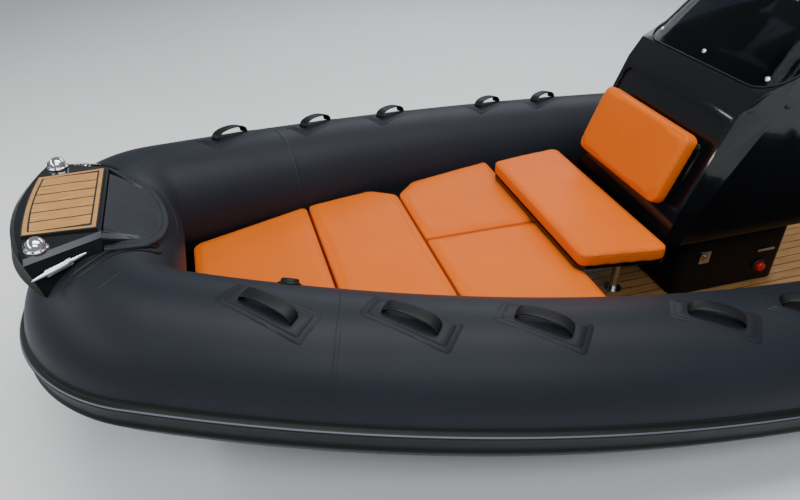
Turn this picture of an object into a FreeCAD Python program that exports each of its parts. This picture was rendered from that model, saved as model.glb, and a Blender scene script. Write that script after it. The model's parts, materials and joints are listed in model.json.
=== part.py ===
import FreeCAD
import Part
import math
import os
from FreeCAD import Vector

# Rigid inflatable boat, in millimetres.
# The origin is on the waterline at the aft face of the transom, on the centreline.
# +X points to the bow, +Y to port and +Z up.

os.makedirs("parts", exist_ok=True)

# Gaps between pieces
seat_gap = 0.3          # between a piece and the curved piece that carries it
run_gap = 8.0           # beside a piece that turns

# Buoyancy tubes
tube_r = 270.0          # radius of a tube
tube_y = 985.0          # centreline of the straight run from the boat's centreline
tube_z = 317.0          # centreline above the waterline, aft
sheer_x = 1845.0        # where the tubes begin to rise
bow_rise = 272.0        # how far they have risen at the nose
curve_x = 3350.0        # where the sides begin to curve in
curve_r = 6700.0        # radius of that long curve in plan
corner_x = 5846.0       # where the tight corner of the bow begins
corner_r = 290.0        # radius of the corner in plan
aft_seam_x = 2900.0     # seam between the aft and middle chambers
bow_seam_x = 5300.0     # seam between the middle and bow chambers
cone_length = 350.0     # end cone behind the transom
cone_tip_r = 120.0      # radius of its rounded tip

# Rubbing strake round the outside of the tubes
strake_angle = 96.0     # degrees from the top of the tube, outboard
strake_half = 9.0       # half its width, in degrees round the tube
strake_high = 22.0      # height of its two ridges
strake_web = 11.0       # thickness between the ridges
strake_flat = 0.9       # its flat back stands off the round tube by this much at the edges

# Hull
deck_z = 150.0          # top of the hull, which the deck lies on
keel_z = -360.0
transom_thick = 55.0
transom_z = 280.0       # top of the transom where the engine hangs
transom_high = 420.0    # top of the transom beside the engine
well_half = 330.0       # half width of the engine cut-out
well_x = 620.0          # splash well's front wall
well_thick = 40.0
well_z = 400.0
deck_thick = 8.0

# Cushions forward
pad_thick = 70.0        # flat cushions
pad_top = 495.0
pad_edge = 12.0         # gap between neighbouring cushions
bow_pad_x = 5735.0      # front edge of the first cushion
split_1_x = 5198.0      # between the first and second cushions
split_2_x = 4749.0      # between the second and third
pad_aft_x = 4188.0      # aft edge of the third
bow_pad_half = 250.0    # half width of the first at its front
mid_pad_half = 440.0    # half width where the first two meet
wide_pad_half = 500.0   # half width of the second at its shoulder
neck_half = 424.0       # half width where the second and third meet
aft_pad_half = 634.0    # half width of the third at its aft edge

# Raised seat in front of the console
seat_front_x = 4247.0
seat_rear_x = 3858.0
seat_front_half = 445.0
seat_rear_half = 500.0
seat_top = 590.0
seat_thick = 65.0
lid_thick = 16.0
pan_thick = 24.0
leg_r = 19.0
leg_y = 190.0
leg_rear_x = 3860.0

# Console
console_half = 405.0
console_low = 515.0     # underside of the overhanging upper body
console_knee = 666.0    # where the front begins to lean
console_ridge = 1084.0  # ridge under the windscreen
plinth_half = 330.0
plinth_aft_x = 3050.0
plinth_front_x = 3640.0
front_low_x = 3800.0
front_knee_x = 3769.0
front_ridge_x = 3607.0
screen_x = 3535.0       # foot of the windscreen
screen_z = 1165.0
top_aft_x = 3150.0      # aft end of the console's top
top_slope = 0.47        # rise of the top for each length aft
aft_low_x = 3094.0
aft_ridge_x = 3040.0
screen_thick = 8.0
screen_high = 395.0     # height of the windscreen
screen_lean = 345.0     # how far its top lies behind its foot
back_low = 650.0        # lower edge of the backrest
back_high = 956.0       # upper edge
back_half = 320.0
back_thick = 90.0       # from the console's leaning face to the front of the cushion
board_thick = 30.0      # backing board moulded on that face, under the cushion
recess = 10.0           # depth of the panel round the backrest

# Helm
wheel_r = 175.0
rim_r = 14.0
wheel_z = 1180.0
helm_x = 1900.0         # aft face of the helm seat
helm_deep = 420.0
helm_half = 400.0
helm_z = 720.0          # top of its base
helm_pad = 85.0
helm_back = 380.0       # height of its backrest

# Stern bench
bench_x = 745.0
bench_front_x = 1322.0
bench_half = 560.0
bench_z = 480.0
bench_back_z = 850.0
bench_shell = 32.0
bench_pad = 70.0
bench_back_pad = 85.0

# Outboard engine
tilt_x = -70.0
tilt_z = 330.0
steer_x = -190.0
arm_y = 88.0            # inner face of a clamp arm
arm_thick = 24.0
tilt_pin_r = 16.0
hub_r = 38.0
swivel_r = 34.0
swivel_low = -40.0
swivel_high = 375.0
pivot_r = 18.0
prop_z = -560.0
plate_z = -345.0        # plate above the propeller
prop_r = 188.0
prop_hub_r = 46.0
prop_hub_x = -640.0
prop_hub_long = 115.0
prop_pitch = 480.0

# Bow moulding
step_top = 905.0
step_band = 893.0       # outer edge of the bright band round its top
step_low = 700.0
step_aft_x = 5985.0
teak_thick = 9.0


def save(name, shape):
    shape.exportStep("parts/" + name + ".step")


def mirror_y(shape):
    return shape.mirror(Vector(0, 0, 0), Vector(0, 1, 0))


def pair(shape):
    return Part.makeCompound([shape, mirror_y(shape)])


def polygon(points):
    corners = [Vector(*p) for p in points]
    return Part.makePolygon(corners + [corners[0]])


def prism(wire, travel):
    return Part.Face(wire).extrude(travel)


def rounded_wire(corners, radii, height):
    """Closed outline in plan with an arc of its own radius at each corner."""
    edges = []
    starts = []
    ends = []
    count = len(corners)
    for i in range(count):
        here = Vector(corners[i][0], corners[i][1], height)
        before = Vector(corners[i - 1][0], corners[i - 1][1], height) - here
        after = Vector(corners[(i + 1) % count][0], corners[(i + 1) % count][1], height) - here
        half = before.getAngle(after) / 2.0
        cut = radii[i] / math.tan(half)
        before.normalize()
        after.normalize()
        bisector = before + after
        bisector.normalize()
        centre = here + bisector * (radii[i] / math.sin(half))
        starts.append(here + before * cut)
        ends.append(here + after * cut)
        middle = centre - bisector * radii[i]
        edges.append(Part.Arc(starts[-1], middle, ends[-1]).toShape())
    joined = []
    for i in range(count):
        joined.append(edges[i])
        if (starts[(i + 1) % count] - ends[i]).Length > 0.01:
            joined.append(Part.LineSegment(ends[i], starts[(i + 1) % count]).toShape())
    return Part.Wire(joined)


def rounded_block(corners, radii, low, high):
    return prism(rounded_wire(corners, radii, low), Vector(0, 0, high - low))


def placed(shape, x_way, z_way, spot):
    """Place a shape drawn about the origin by where its own X and Z are to point."""
    y_way = z_way.cross(x_way)
    shape.Placement = FreeCAD.Placement(FreeCAD.Matrix(
        x_way.x, y_way.x, z_way.x, spot.x,
        x_way.y, y_way.y, z_way.y, spot.y,
        x_way.z, y_way.z, z_way.z, spot.z,
        0, 0, 0, 1))
    return shape


def block(x1, x2, y1, y2, z1, z2):
    return Part.makeBox(x2 - x1, y2 - y1, z2 - z1, Vector(x1, y1, z1))


# Tube centreline

corner_turn = math.asin((corner_x - curve_x) / curve_r)
corner_cx = corner_x - corner_r * math.sin(corner_turn)
corner_cy = tube_y - curve_r * (1.0 - math.cos(corner_turn)) - corner_r * math.cos(corner_turn)
nose_x = corner_cx + corner_r


def side_station(x):
    """Place and heading of the port tube's centreline at x."""
    heading = math.asin(max(0.0, x - curve_x) / curve_r)
    return (x, tube_y - curve_r * (1.0 - math.cos(heading)), heading)


def corner_station(heading):
    return (corner_cx + corner_r * math.sin(heading), corner_cy + corner_r * math.cos(heading), heading)


def other_side(stations):
    return [(x, -y, math.pi - heading) for x, y, heading in reversed(stations)]


def run_of(start, end, steps):
    return [side_station(start + (end - start) * i / steps) for i in range(steps + 1)]


def axis_z(x):
    return tube_z + bow_rise * (max(0.0, x - sheer_x) / (nose_x - sheer_x)) ** 2


def on_tube(station, degrees, radius):
    """Point at a radius from the centreline, at degrees from the top towards outboard."""
    x, y, heading = station
    slope = 2.0 * bow_rise * max(0.0, x - sheer_x) / (nose_x - sheer_x) ** 2 * math.cos(heading)
    along = Vector(math.cos(heading), -math.sin(heading), slope)
    along.normalize()
    out = Vector(math.sin(heading), math.cos(heading), 0)
    up = along.cross(out)
    turn = math.radians(degrees)
    return Vector(x, y, axis_z(x)) + up * (radius * math.cos(turn)) + out * (radius * math.sin(turn))


def tube(stations, radius):
    sections = []
    for station in stations:
        upper = Part.Arc(*[on_tube(station, a, radius) for a in (90, 0, -90)]).toShape()
        lower = Part.Arc(*[on_tube(station, a, radius) for a in (-90, 180, 90)]).toShape()
        sections.append(Part.Wire([upper, lower]))
    return Part.makeLoft(sections, True, False)


corner_steps = 6
corner_run = [corner_station(corner_turn + (math.pi / 2 - corner_turn) * i / corner_steps)
              for i in range(1, corner_steps + 1)]
aft_run = run_of(0.0, sheer_x, 3) + run_of(sheer_x, aft_seam_x, 2)[1:]
mid_run = run_of(aft_seam_x, bow_seam_x, 5)
bow_half = run_of(bow_seam_x, corner_x, 3) + corner_run
bow_run = bow_half + [(nose_x, 0.0, math.pi / 2)] + other_side(bow_half)

tube_bow = tube(bow_run, tube_r)
tube_mid = tube(mid_run, tube_r)
tube_aft = tube(aft_run, tube_r)
save("tube_bow", tube_bow)
save("tube_port_mid", tube_mid)
save("tube_port_aft", tube_aft)
save("tube_starboard_mid", mirror_y(tube_mid))
save("tube_starboard_aft", mirror_y(tube_aft))

# Slightly larger tubes, which cut a seat into what lies against them
seat_r = tube_r + seat_gap
bow_seat = tube(bow_run, seat_r)
mid_seat = tube(mid_run, seat_r)
aft_seat = tube(aft_run, seat_r)
seats = [bow_seat, mid_seat, mirror_y(mid_seat), aft_seat, mirror_y(aft_seat)]


def against_tubes(shape):
    for seat in seats:
        shape = shape.cut(seat)
    return shape


def largest(shape):
    """The main solid, without the thin offcuts beyond the tubes."""
    return max(shape.Solids, key=lambda s: s.Volume)


# End cones behind the transom
cone_centre = Vector(0, tube_y, tube_z)
cone = Part.makeCone(tube_r, cone_tip_r, cone_length * 0.85, cone_centre, Vector(-1, 0, 0))
cone_cap = Part.makeCone(cone_tip_r, cone_tip_r * 0.55, cone_length * 0.15,
                         cone_centre - Vector(cone_length * 0.85, 0, 0), Vector(-1, 0, 0))
cone = cone.fuse(cone_cap)
save("tube_cones", pair(cone))


def strake_section(station):
    """Flat back against the tube and two ridges outboard, with a groove between them."""
    low = strake_angle + strake_half
    high = strake_angle - strake_half
    back = tube_r + seat_gap + strake_flat
    web = back + strake_web
    ridge = back + strake_high
    share = strake_half / 5.0
    half = [(back, high), (web, high), (ridge, high + share), (ridge, high + 2 * share),
            (web, high + 3.5 * share)]
    spots = half + [(radius, low + high - angle) for radius, angle in reversed(half)] + [(back, strake_angle)]
    return polygon([tuple(on_tube(station, angle, radius)) for radius, angle in spots])


def strake(stations):
    return Part.makeLoft([strake_section(s) for s in stations], True, False)


side_strake = strake(aft_run).fuse(strake(mid_run))
save("rub_strake", strake(bow_run).cut(bow_seat).fuse([side_strake, mirror_y(side_strake)]))

# Grab handles along the top of the tubes, slanted with the aft end outboard
handle_xs = (5513.0, 5085.0, 4666.0, 4065.0, 3700.0, 2650.0)
handle_angle = 8.0      # from the top of the tube, outboard
handle_reach = 82.0     # half its length along the tube
handle_slant = 8.5      # degrees round the tube from its middle to one end
handle_wide = 36.0
handle_high = 46.0
handle_web = 8.0
foot_long = 30.0
foot_lift = 0.9         # keeps the flat feet off the curved tube


def handle(x):
    front = on_tube(side_station(x + handle_reach), handle_angle - handle_slant, seat_r + foot_lift)
    rear = on_tube(side_station(x - handle_reach), handle_angle + handle_slant, seat_r + foot_lift)
    middle = (front + rear) * 0.5
    along = rear - front
    half = along.Length / 2
    along.normalize()
    outward = on_tube(side_station(x), handle_angle, 1.0) - on_tube(side_station(x), handle_angle, 0.0)
    across = along.cross(outward)
    across.normalize()
    up = across.cross(along)

    def spot(a, h):
        return middle + along * a + up * h - across * (handle_wide / 2)

    inner = half - handle_web * 1.6
    outline = Part.Wire([
        Part.Arc(spot(-half, handle_web), spot(0, handle_high), spot(half, handle_web)).toShape(),
        Part.LineSegment(spot(half, handle_web), spot(half + foot_long, handle_web * 0.6)).toShape(),
        Part.LineSegment(spot(half + foot_long, handle_web * 0.6), spot(half + foot_long, 0)).toShape(),
        Part.LineSegment(spot(half + foot_long, 0), spot(inner, 0)).toShape(),
        Part.Arc(spot(inner, 0), spot(0, handle_high - handle_web), spot(-inner, 0)).toShape(),
        Part.LineSegment(spot(-inner, 0), spot(-half - foot_long, 0)).toShape(),
        Part.LineSegment(spot(-half - foot_long, 0), spot(-half - foot_long, handle_web * 0.6)).toShape(),
        Part.LineSegment(spot(-half - foot_long, handle_web * 0.6), spot(-half, handle_web)).toShape()])
    return prism(outline, across * handle_wide)


port_handles = Part.makeCompound([against_tubes(handle(x)) for x in handle_xs])
save("grab_handles_port", port_handles)
save("grab_handles_starboard", mirror_y(port_handles))

# Hull: a deep vee with one chine on each side
# Each row holds x, keel height, chine half breadth and chine height
hull_rows = (
    (0.0, keel_z, 720.0, -70.0),
    (1300.0, keel_z, 720.0, -65.0),
    (2600.0, keel_z + 10.0, 712.0, -45.0),
    (3800.0, keel_z + 40.0, 660.0, 0.0),
    (4700.0, keel_z + 120.0, 560.0, 65.0),
    (5300.0, keel_z + 225.0, 430.0, 135.0),
    (5700.0, keel_z + 345.0, 290.0, 200.0),
    (5940.0, keel_z + 480.0, 150.0, 262.0),
    (6050.0, keel_z + 600.0, 55.0, 300.0))
flange = 113.0          # how far the hull's edge lies inboard of the tube's centreline
flange_drop = 245.0     # and below it
hull_spare = 5.0        # height left above the deck, which is then planed flat


def hull_section(row):
    x, keel, chine_y, chine_z = row
    edge_y = min(side_station(min(x, corner_x))[1] - flange, chine_y + 158.0)
    edge_z = axis_z(x) - flange_drop
    top_z = max(deck_z, edge_z) + hull_spare
    half = [(chine_y, chine_z), (edge_y, edge_z), (edge_y, top_z)]
    points = [(x, 0.0, keel)] + [(x, y, z) for y, z in half] + [(x, -y, z) for y, z in reversed(half)]
    return polygon(points)


hull_loft = Part.makeLoft([hull_section(row) for row in hull_rows], True, False)
hull_whole = hull_loft.cut(block(-10, pad_aft_x, -tube_y, tube_y, deck_z, deck_z + tube_r))
hull = largest(against_tubes(hull_whole))
save("hull", hull)

# Transom with the engine cut-out, on the hull's aft end
side_half = tube_y - tube_r * 0.6
transom_wire = rounded_wire(
    [(-side_half, deck_z), (side_half, deck_z), (side_half, transom_high), (well_half + 90, transom_high),
     (well_half, transom_z), (-well_half, transom_z), (-well_half - 90, transom_high),
     (-side_half, transom_high)], [5, 5, 5, 40, 40, 40, 40, 5], 0.0)


def stand_up(shape, x):
    """Turn an outline drawn as (y, z) into the plane at x."""
    shape.rotate(Vector(0, 0, 0), Vector(1, 1, 1), 120)
    shape.translate(Vector(x, 0, 0))
    return shape


transom = prism(stand_up(transom_wire, 0.0), Vector(transom_thick, 0, 0))
save("transom", largest(against_tubes(transom)))
bulkhead_wire = rounded_wire([(-side_half, deck_z), (side_half, deck_z), (side_half, well_z),
                              (-side_half, well_z)], [5, 5, 60, 60], 0.0)
bulkhead = prism(stand_up(bulkhead_wire, well_x), Vector(well_thick, 0, 0))
save("well_bulkhead", largest(against_tubes(bulkhead)))

# Decking between the splash well and the bow moulding
decking = block(well_x + well_thick, pad_aft_x - 2, -tube_y, tube_y, deck_z, deck_z + deck_thick)
save("deck_planking", largest(against_tubes(decking)))

# Moulding that carries the flat cushions, between the tubes
base_gap = 3.0
base_stations = run_of(pad_aft_x, bow_seam_x, 4) + bow_half[1:]
base_half = [on_tube(station, -90, tube_r + base_gap) for station in base_stations]
base_outline = [(p.x, p.y, deck_z) for p in base_half] + [(p.x, -p.y, deck_z) for p in reversed(base_half)]
base = prism(polygon(base_outline), Vector(0, 0, pad_top - pad_thick - seat_gap - deck_z))
base = base.common(block(pad_aft_x, nose_x, -tube_y, tube_y, 0, pad_top))
save("bow_base", largest(base.cut(hull_whole)))

# Flat cushions
pad_low = pad_top - pad_thick
cushion_1 = rounded_block(
    [(bow_pad_x, bow_pad_half), (split_1_x + pad_edge / 2, mid_pad_half),
     (split_1_x + pad_edge / 2, -mid_pad_half), (bow_pad_x, -bow_pad_half)],
     [60, 25, 25, 60], pad_low, pad_top)
save("cushion_bow_1", cushion_1)
shoulder_x = split_2_x + 122.0
cushion_2 = rounded_block(
    [(split_1_x - pad_edge / 2, mid_pad_half), (shoulder_x, wide_pad_half),
     (split_2_x + pad_edge / 2, neck_half), (split_2_x + pad_edge / 2, -neck_half),
     (shoulder_x, -wide_pad_half), (split_1_x - pad_edge / 2, -mid_pad_half)],
    [25, 70, 25, 25, 70, 25], pad_low, pad_top)
save("cushion_bow_2", cushion_2)
cushion_3 = rounded_block(
    [(split_2_x - pad_edge / 2, pad_edge / 2), (split_2_x - pad_edge / 2, neck_half),
     (split_2_x - 108, neck_half + 106), (pad_aft_x + 8, aft_pad_half), (pad_aft_x + 8, pad_edge / 2)],
    [12, 40, 60, 20, 12], pad_low, pad_top)
save("cushion_mid_port", cushion_3)
save("cushion_mid_starboard", mirror_y(cushion_3))

# Raised seat: lid and cushion turn up together on the hinge line
hinge_r = 6.0
hinge_long = 70.0
hinge_y = 240.0


def hinged(lid, x, z):
    """The lid with three hinge barrels on its hinge line."""
    barrels = [Part.makeCylinder(hinge_r, hinge_long, Vector(x, y - hinge_long / 2, z), Vector(0, 1, 0))
               for y in (-hinge_y, 0.0, hinge_y)]
    return lid.fuse(barrels)


lid_low = seat_top - seat_thick - lid_thick - seat_gap
seat_plan = [(seat_front_x, seat_front_half), (seat_rear_x, seat_rear_half),
             (seat_rear_x, -seat_rear_half), (seat_front_x, -seat_front_half)]
lid_plan = [(x - 6 if x == seat_front_x else x, y - math.copysign(14, y)) for x, y in seat_plan]
save("seat_cushion", rounded_block(seat_plan, [45, 35, 35, 45], seat_top - seat_thick, seat_top))
save("seat_lid", hinged(rounded_block(lid_plan, [40, 30, 30, 40], lid_low, lid_low + lid_thick),
                        seat_rear_x - 4, lid_low + hinge_r))

pan_top = lid_low - seat_gap
pan = block(plinth_front_x + seat_gap, pad_aft_x - 8, -plinth_half, plinth_half, pan_top - pan_thick, pan_top)
floor_z = deck_z + deck_thick
legs = []
for leg_x in (leg_rear_x, pad_aft_x - 60):
    for side in (-1, 1):
        foot = Part.makeCylinder(leg_r * 2.1, 8, Vector(leg_x, side * leg_y, floor_z))
        post = Part.makeCylinder(leg_r, pan_top - pan_thick - floor_z, Vector(leg_x, side * leg_y, floor_z))
        legs.append(post.fuse(foot))
save("seat_pan", pan)
save("seat_legs", Part.makeCompound([leg.removeSplitter() for leg in legs]))

# Console: narrow plinth and a wide upper body with a leaning front
plinth_plan = [(plinth_front_x, plinth_half), (plinth_aft_x, plinth_half),
               (plinth_aft_x, -plinth_half), (plinth_front_x, -plinth_half)]
save("console_plinth", rounded_block(plinth_plan, [45, 45, 45, 45], floor_z, console_low))


def console_level(front, front_half, chamfer, side_half_width, aft, height, slope):
    half = [(front, front_half), (front - chamfer, side_half_width), (aft, side_half_width),
            (aft, 0.0)]
    loop = half + [(x, -y) for x, y in reversed(half[:3])]
    return polygon([(x, y, height + slope * (front - x)) for x, y in loop])


console_body = Part.makeLoft([
    console_level(front_low_x, console_half - 30, 60, console_half, aft_low_x, console_low, 0.0),
    console_level(front_knee_x, console_half - 20, 90, console_half, aft_low_x - 10, console_knee, 0.0),
    console_level(front_ridge_x, console_half - 22, 170, console_half, aft_ridge_x, console_ridge, 0.0),
    console_level(screen_x, console_half - 2, 110, console_half + 12, top_aft_x, screen_z, top_slope)],
    True, True)

lean = math.atan2(front_knee_x - front_ridge_x, console_ridge - console_knee)
front_out = Vector(math.cos(lean), 0, math.sin(lean))
front_up = Vector(-math.sin(lean), 0, math.cos(lean))


def front_face_at(height):
    return front_knee_x - (height - console_knee) * math.tan(lean)


def front_panel(half, low, high, radius, start, finish):
    """Rounded panel parallel to the leaning front, between two distances from it."""
    long = (high - low) / math.cos(lean)
    wire = rounded_wire([(0, -half), (0, half), (long, half), (long, -half)], [radius] * 4, 0.0)
    panel = prism(wire, Vector(0, 0, finish - start))
    foot = Vector(front_face_at(low), 0, low) + front_out * start
    return placed(panel, front_up, front_out, foot)


pocket = front_panel(back_half + 38, back_low + 26, console_ridge - 36, 50, -recess, 40)
board = front_panel(back_half - 28, back_low + 45, back_high - 28, 30, -recess - 2, board_thick)
save("console", console_body.cut(pocket).fuse(board))
save("backrest_cushion", front_panel(back_half, back_low, back_high, 45, board_thick + seat_gap, back_thick))

# Windscreen: a smoked sheet wrapped round the front of the console's top
wrap_r = 110.0


def screen_section(front, half, aft, height, slope, inset):
    """Outline in a plane that rises aft, with rounded front corners."""
    def rail(x, y):
        return Vector(x, y, height + slope * (front - x))

    face = front - inset
    side = half - inset
    bend = wrap_r - inset
    snub = bend * (1.0 - math.sqrt(0.5))
    return Part.Wire([
        Part.LineSegment(rail(aft, side), rail(face - bend, side)).toShape(),
        Part.Arc(rail(face - bend, side), rail(face - snub, side - snub), rail(face, side - bend)).toShape(),
        Part.LineSegment(rail(face, side - bend), rail(face, bend - side)).toShape(),
        Part.Arc(rail(face, bend - side), rail(face - snub, snub - side), rail(face - bend, -side)).toShape(),
        Part.LineSegment(rail(face - bend, -side), rail(aft, -side)).toShape(),
        Part.LineSegment(rail(aft, -side), rail(aft, side)).toShape()])


def screen_solid(inset, aft_shift):
    top_front = screen_x - screen_inset - screen_lean
    return Part.makeLoft([
        screen_section(screen_x - screen_inset, console_half, top_aft_x + 80 - aft_shift,
                       screen_foot, top_slope, inset),
        screen_section(top_front, console_half - 55, top_aft_x - 60 - aft_shift,
                       screen_foot + screen_high, top_slope * 0.25, inset)], True, True)


screen_inset = 8.0
screen_foot = screen_z + top_slope * screen_inset + seat_gap
save("windscreen", screen_solid(0.0, 0.0).cut(screen_solid(screen_thick, 60.0)))

# Helm: panel on the console's aft slope, wheel and throttle
panel_angle = math.atan2(top_aft_x - aft_ridge_x,
                         screen_z + top_slope * (screen_x - top_aft_x) - console_ridge)
panel_out = Vector(-math.cos(panel_angle), 0, math.sin(panel_angle))
panel_up = Vector(math.sin(panel_angle), 0, math.cos(panel_angle))
panel_foot = Vector(aft_ridge_x + (wheel_z - console_ridge) * math.tan(panel_angle), 0, wheel_z)
panel_thick = 12.0
boss_high = 60.0
shaft_r = 12.0


def on_panel(shape):
    """Place a shape drawn with +Z out of the panel and +X up along it."""
    return placed(shape, panel_up, panel_out, panel_foot)


dash = prism(rounded_wire([(-80, -350), (150, -350), (150, 350), (-80, 350)], [35] * 4, seat_gap),
             Vector(0, 0, panel_thick))
boss = Part.makeCone(48, 34, boss_high, Vector(0, 0, seat_gap))
bore = Part.makeCylinder(shaft_r + seat_gap, 2 * boss_high, Vector(0, 0, panel_thick))
save("dash_panel", on_panel(dash.fuse(boss).cut(bore)))

rim_z = boss_high + 75.0
hub_low = boss_high + run_gap
rim = Part.makeTorus(wheel_r, rim_r, Vector(0, 0, rim_z))
wheel_hub = Part.makeCone(40, 30, rim_z - hub_low, Vector(0, 0, hub_low))
shaft = Part.makeCylinder(shaft_r, hub_low - panel_thick - 6, Vector(0, 0, panel_thick + 6))
wheel = rim.fuse([wheel_hub, shaft])
for angle in (90, 210, 330):
    spoke = Part.makeBox(wheel_r, 26, 9, Vector(0, -13, rim_z - 16))
    spoke.rotate(Vector(0, 0, 0), Vector(0, 0, 1), angle)
    wheel = wheel.fuse(spoke)
wheel = wheel.removeSplitter()
save("steering_wheel", on_panel(wheel))

throttle_y = -265.0
throttle_box = rounded_block([(-50, throttle_y - 45), (60, throttle_y - 45), (60, throttle_y + 45),
                              (-50, throttle_y + 45)], [18] * 4, panel_thick + 2 * seat_gap, 70)
lever = Part.makeCylinder(9, 120, Vector(10, throttle_y + 52, 50), Vector(0.35, 0, 1))
axle = Part.makeCylinder(16, 30, Vector(10, throttle_y + 30, 50), Vector(0, 1, 0))
grip = Part.makeCylinder(16, 80, Vector(54, throttle_y + 62, 166), Vector(0, -1, 0))
save("throttle", on_panel(throttle_box.fuse([lever, axle, grip]).removeSplitter()))

# Latch, grab bar and battery switch on the plinth's port side
fit_y = plinth_half + seat_gap
latch = block(3480, 3535, fit_y, fit_y + 14, 328, 392)
bar = block(3140, 3235, fit_y, fit_y + 12, 338, 350)
knob_base = Part.makeCylinder(34, 8, Vector(3173, fit_y, 250), Vector(0, 1, 0))
knob = Part.makeCone(24, 19, 20, Vector(3173, fit_y + 8, 250), Vector(0, 1, 0))
save("plinth_latch", Part.makeCompound([latch, bar]))
save("battery_switch", knob_base.fuse(knob))

# Helm seat
helm_plan = [(helm_x + helm_deep, helm_half - 40), (helm_x, helm_half - 40),
             (helm_x, 40 - helm_half), (helm_x + helm_deep, 40 - helm_half)]
helm_pad_plan = [(helm_x + helm_deep + 25, helm_half), (helm_x + 95, helm_half),
                 (helm_x + 95, -helm_half), (helm_x + helm_deep + 25, -helm_half)]
helm_back_plan = [(helm_x + 92, helm_half), (helm_x + 6, helm_half - 30),
                  (helm_x + 6, 30 - helm_half), (helm_x + 92, -helm_half)]
save("helm_base", rounded_block(helm_plan, [60] * 4, floor_z, helm_z))
save("helm_cushion", rounded_block(helm_pad_plan, [60, 20, 20, 60], helm_z + seat_gap, helm_z + helm_pad))
save("helm_backrest", rounded_block(helm_back_plan, [25, 25, 25, 25], helm_z + seat_gap, helm_z + helm_back))

# Stern bench: base with an upright back shell, lid and cushions
bench_plan = [(bench_front_x, bench_half), (bench_x, bench_half),
              (bench_x, -bench_half), (bench_front_x, -bench_half)]
bench_base = rounded_block(bench_plan, [50, 30, 30, 50], floor_z, bench_z)
shell_wire = rounded_wire([(-bench_half + 30, bench_z - 40), (bench_half - 30, bench_z - 40),
                           (bench_half - 30, bench_back_z), (30 - bench_half, bench_back_z)],
                           [5, 5, 70, 70], 0.0)
back_shell = prism(stand_up(shell_wire, bench_x), Vector(bench_shell, 0, 0))
save("bench_base", bench_base.fuse(back_shell).removeSplitter())
back_pad_wire = rounded_wire([(-bench_half + 40, bench_z + 12), (bench_half - 40, bench_z + 12),
                              (bench_half - 40, bench_back_z + 15), (40 - bench_half, bench_back_z + 15)],
                             [20, 20, 60, 60], 0.0)
save("bench_backrest", prism(stand_up(back_pad_wire, bench_x + bench_shell + seat_gap),
                             Vector(bench_back_pad, 0, 0)))
bench_lid_aft = bench_x + bench_shell + bench_back_pad + run_gap + 6
bench_lid_front = bench_front_x + 6
bench_lid_plan = [(bench_lid_front, bench_half - 12), (bench_lid_aft, bench_half - 12),
                  (bench_lid_aft, 12 - bench_half), (bench_lid_front, 12 - bench_half)]
bench_lid_low = bench_z + seat_gap
bench_pad_low = bench_lid_low + lid_thick + seat_gap
bench_lid = rounded_block(bench_lid_plan, [40, 15, 15, 40], bench_lid_low, bench_lid_low + lid_thick)
save("bench_lid", hinged(bench_lid, bench_lid_front + 2, bench_lid_low + hinge_r))
save("bench_cushion", rounded_block([(x + math.copysign(2, x - 1000), y) for x, y in bench_lid_plan],
                                    [45, 20, 20, 45], bench_pad_low, bench_pad_low + bench_pad))


# Bow moulding that saddles the nose of the tubes
def step_level(nose, front, aft):
    """Outline from its front point, front corner and aft corner, each as x, y and z."""
    near = [Vector(*front), Vector(*aft)]
    far = [Vector(v.x, -v.y, v.z) for v in near]
    edges = [Part.Arc(far[0], Vector(nose[0], 0, nose[1]), near[0]).toShape()]
    sides = near + [far[1], far[0]]
    for start, end in zip(sides, sides[1:]):
        edges.append(Part.LineSegment(start, end).toShape())
    return Part.Wire(edges)


step_nose = nose_x + tube_r + 20.0
wing_front_in = Vector(step_nose - 109, 374, step_band)
wing_aft_in = Vector(step_aft_x, 264, step_band)
wing_front_out = Vector(step_nose - 153, 420, 800)
wing_aft_out = Vector(step_aft_x, 305, 852)
step_body = Part.makeLoft([
    step_level((step_nose - 20, step_low), (step_nose - 190, 380, step_low), (step_aft_x, 285, step_low)),
    step_level((step_nose + 5, 790), tuple(wing_front_out), tuple(wing_aft_out)),
    step_level((step_nose - 22, step_band), tuple(wing_front_in), tuple(wing_aft_in)),
    step_level((step_nose - 40, step_top), (step_nose - 108, 350, step_top), (step_aft_x, 241, step_top))],
    True, True)

# A horn on each side runs aft beside the tread pad, down to a tip on the tube
horn_tip_x = 5864.0
horn_root = polygon([(step_aft_x + 2, 241, step_top - 1), (step_aft_x + 2, 264, step_band - 1),
                     (step_aft_x + 2, 305, 851), (step_aft_x + 2, 300, step_low),
                     (step_aft_x + 2, 241, step_low)])
horn_end = polygon([(horn_tip_x, 176, 812), (horn_tip_x, 182, 810), (horn_tip_x, 188, 804),
                    (horn_tip_x, 186, step_low), (horn_tip_x, 176, step_low)])
horn = Part.makeLoft([horn_root, horn_end], True, True)
step_solid = largest(step_body.fuse([horn, mirror_y(horn)]).cut(bow_seat))
save("bow_step", step_solid)

teak_front = step_nose - 70.0
teak_low = step_top + seat_gap
teak_front_edge = Part.Arc(Vector(teak_front - 12, -215, teak_low), Vector(teak_front, 0, teak_low),
                           Vector(teak_front - 12, 215, teak_low)).toShape()
teak_corners = [Vector(teak_front - 12, 215, teak_low), Vector(step_aft_x + 12, 228, teak_low),
                Vector(step_aft_x + 12, -228, teak_low), Vector(teak_front - 12, -215, teak_low)]
teak_sides = [Part.LineSegment(a, b).toShape() for a, b in zip(teak_corners, teak_corners[1:])]
save("bow_step_teak", prism(Part.Wire([teak_front_edge] + teak_sides), Vector(0, 0, teak_thick)))

# Rubber tread pad draped over the tube behind the moulding
tread_long = 186.0
tread_half = 300.0
tread_thick = 7.0
tread_rim = 5.0
ramp_half = 235.0       # half width of the ramp that meets the moulding


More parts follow.
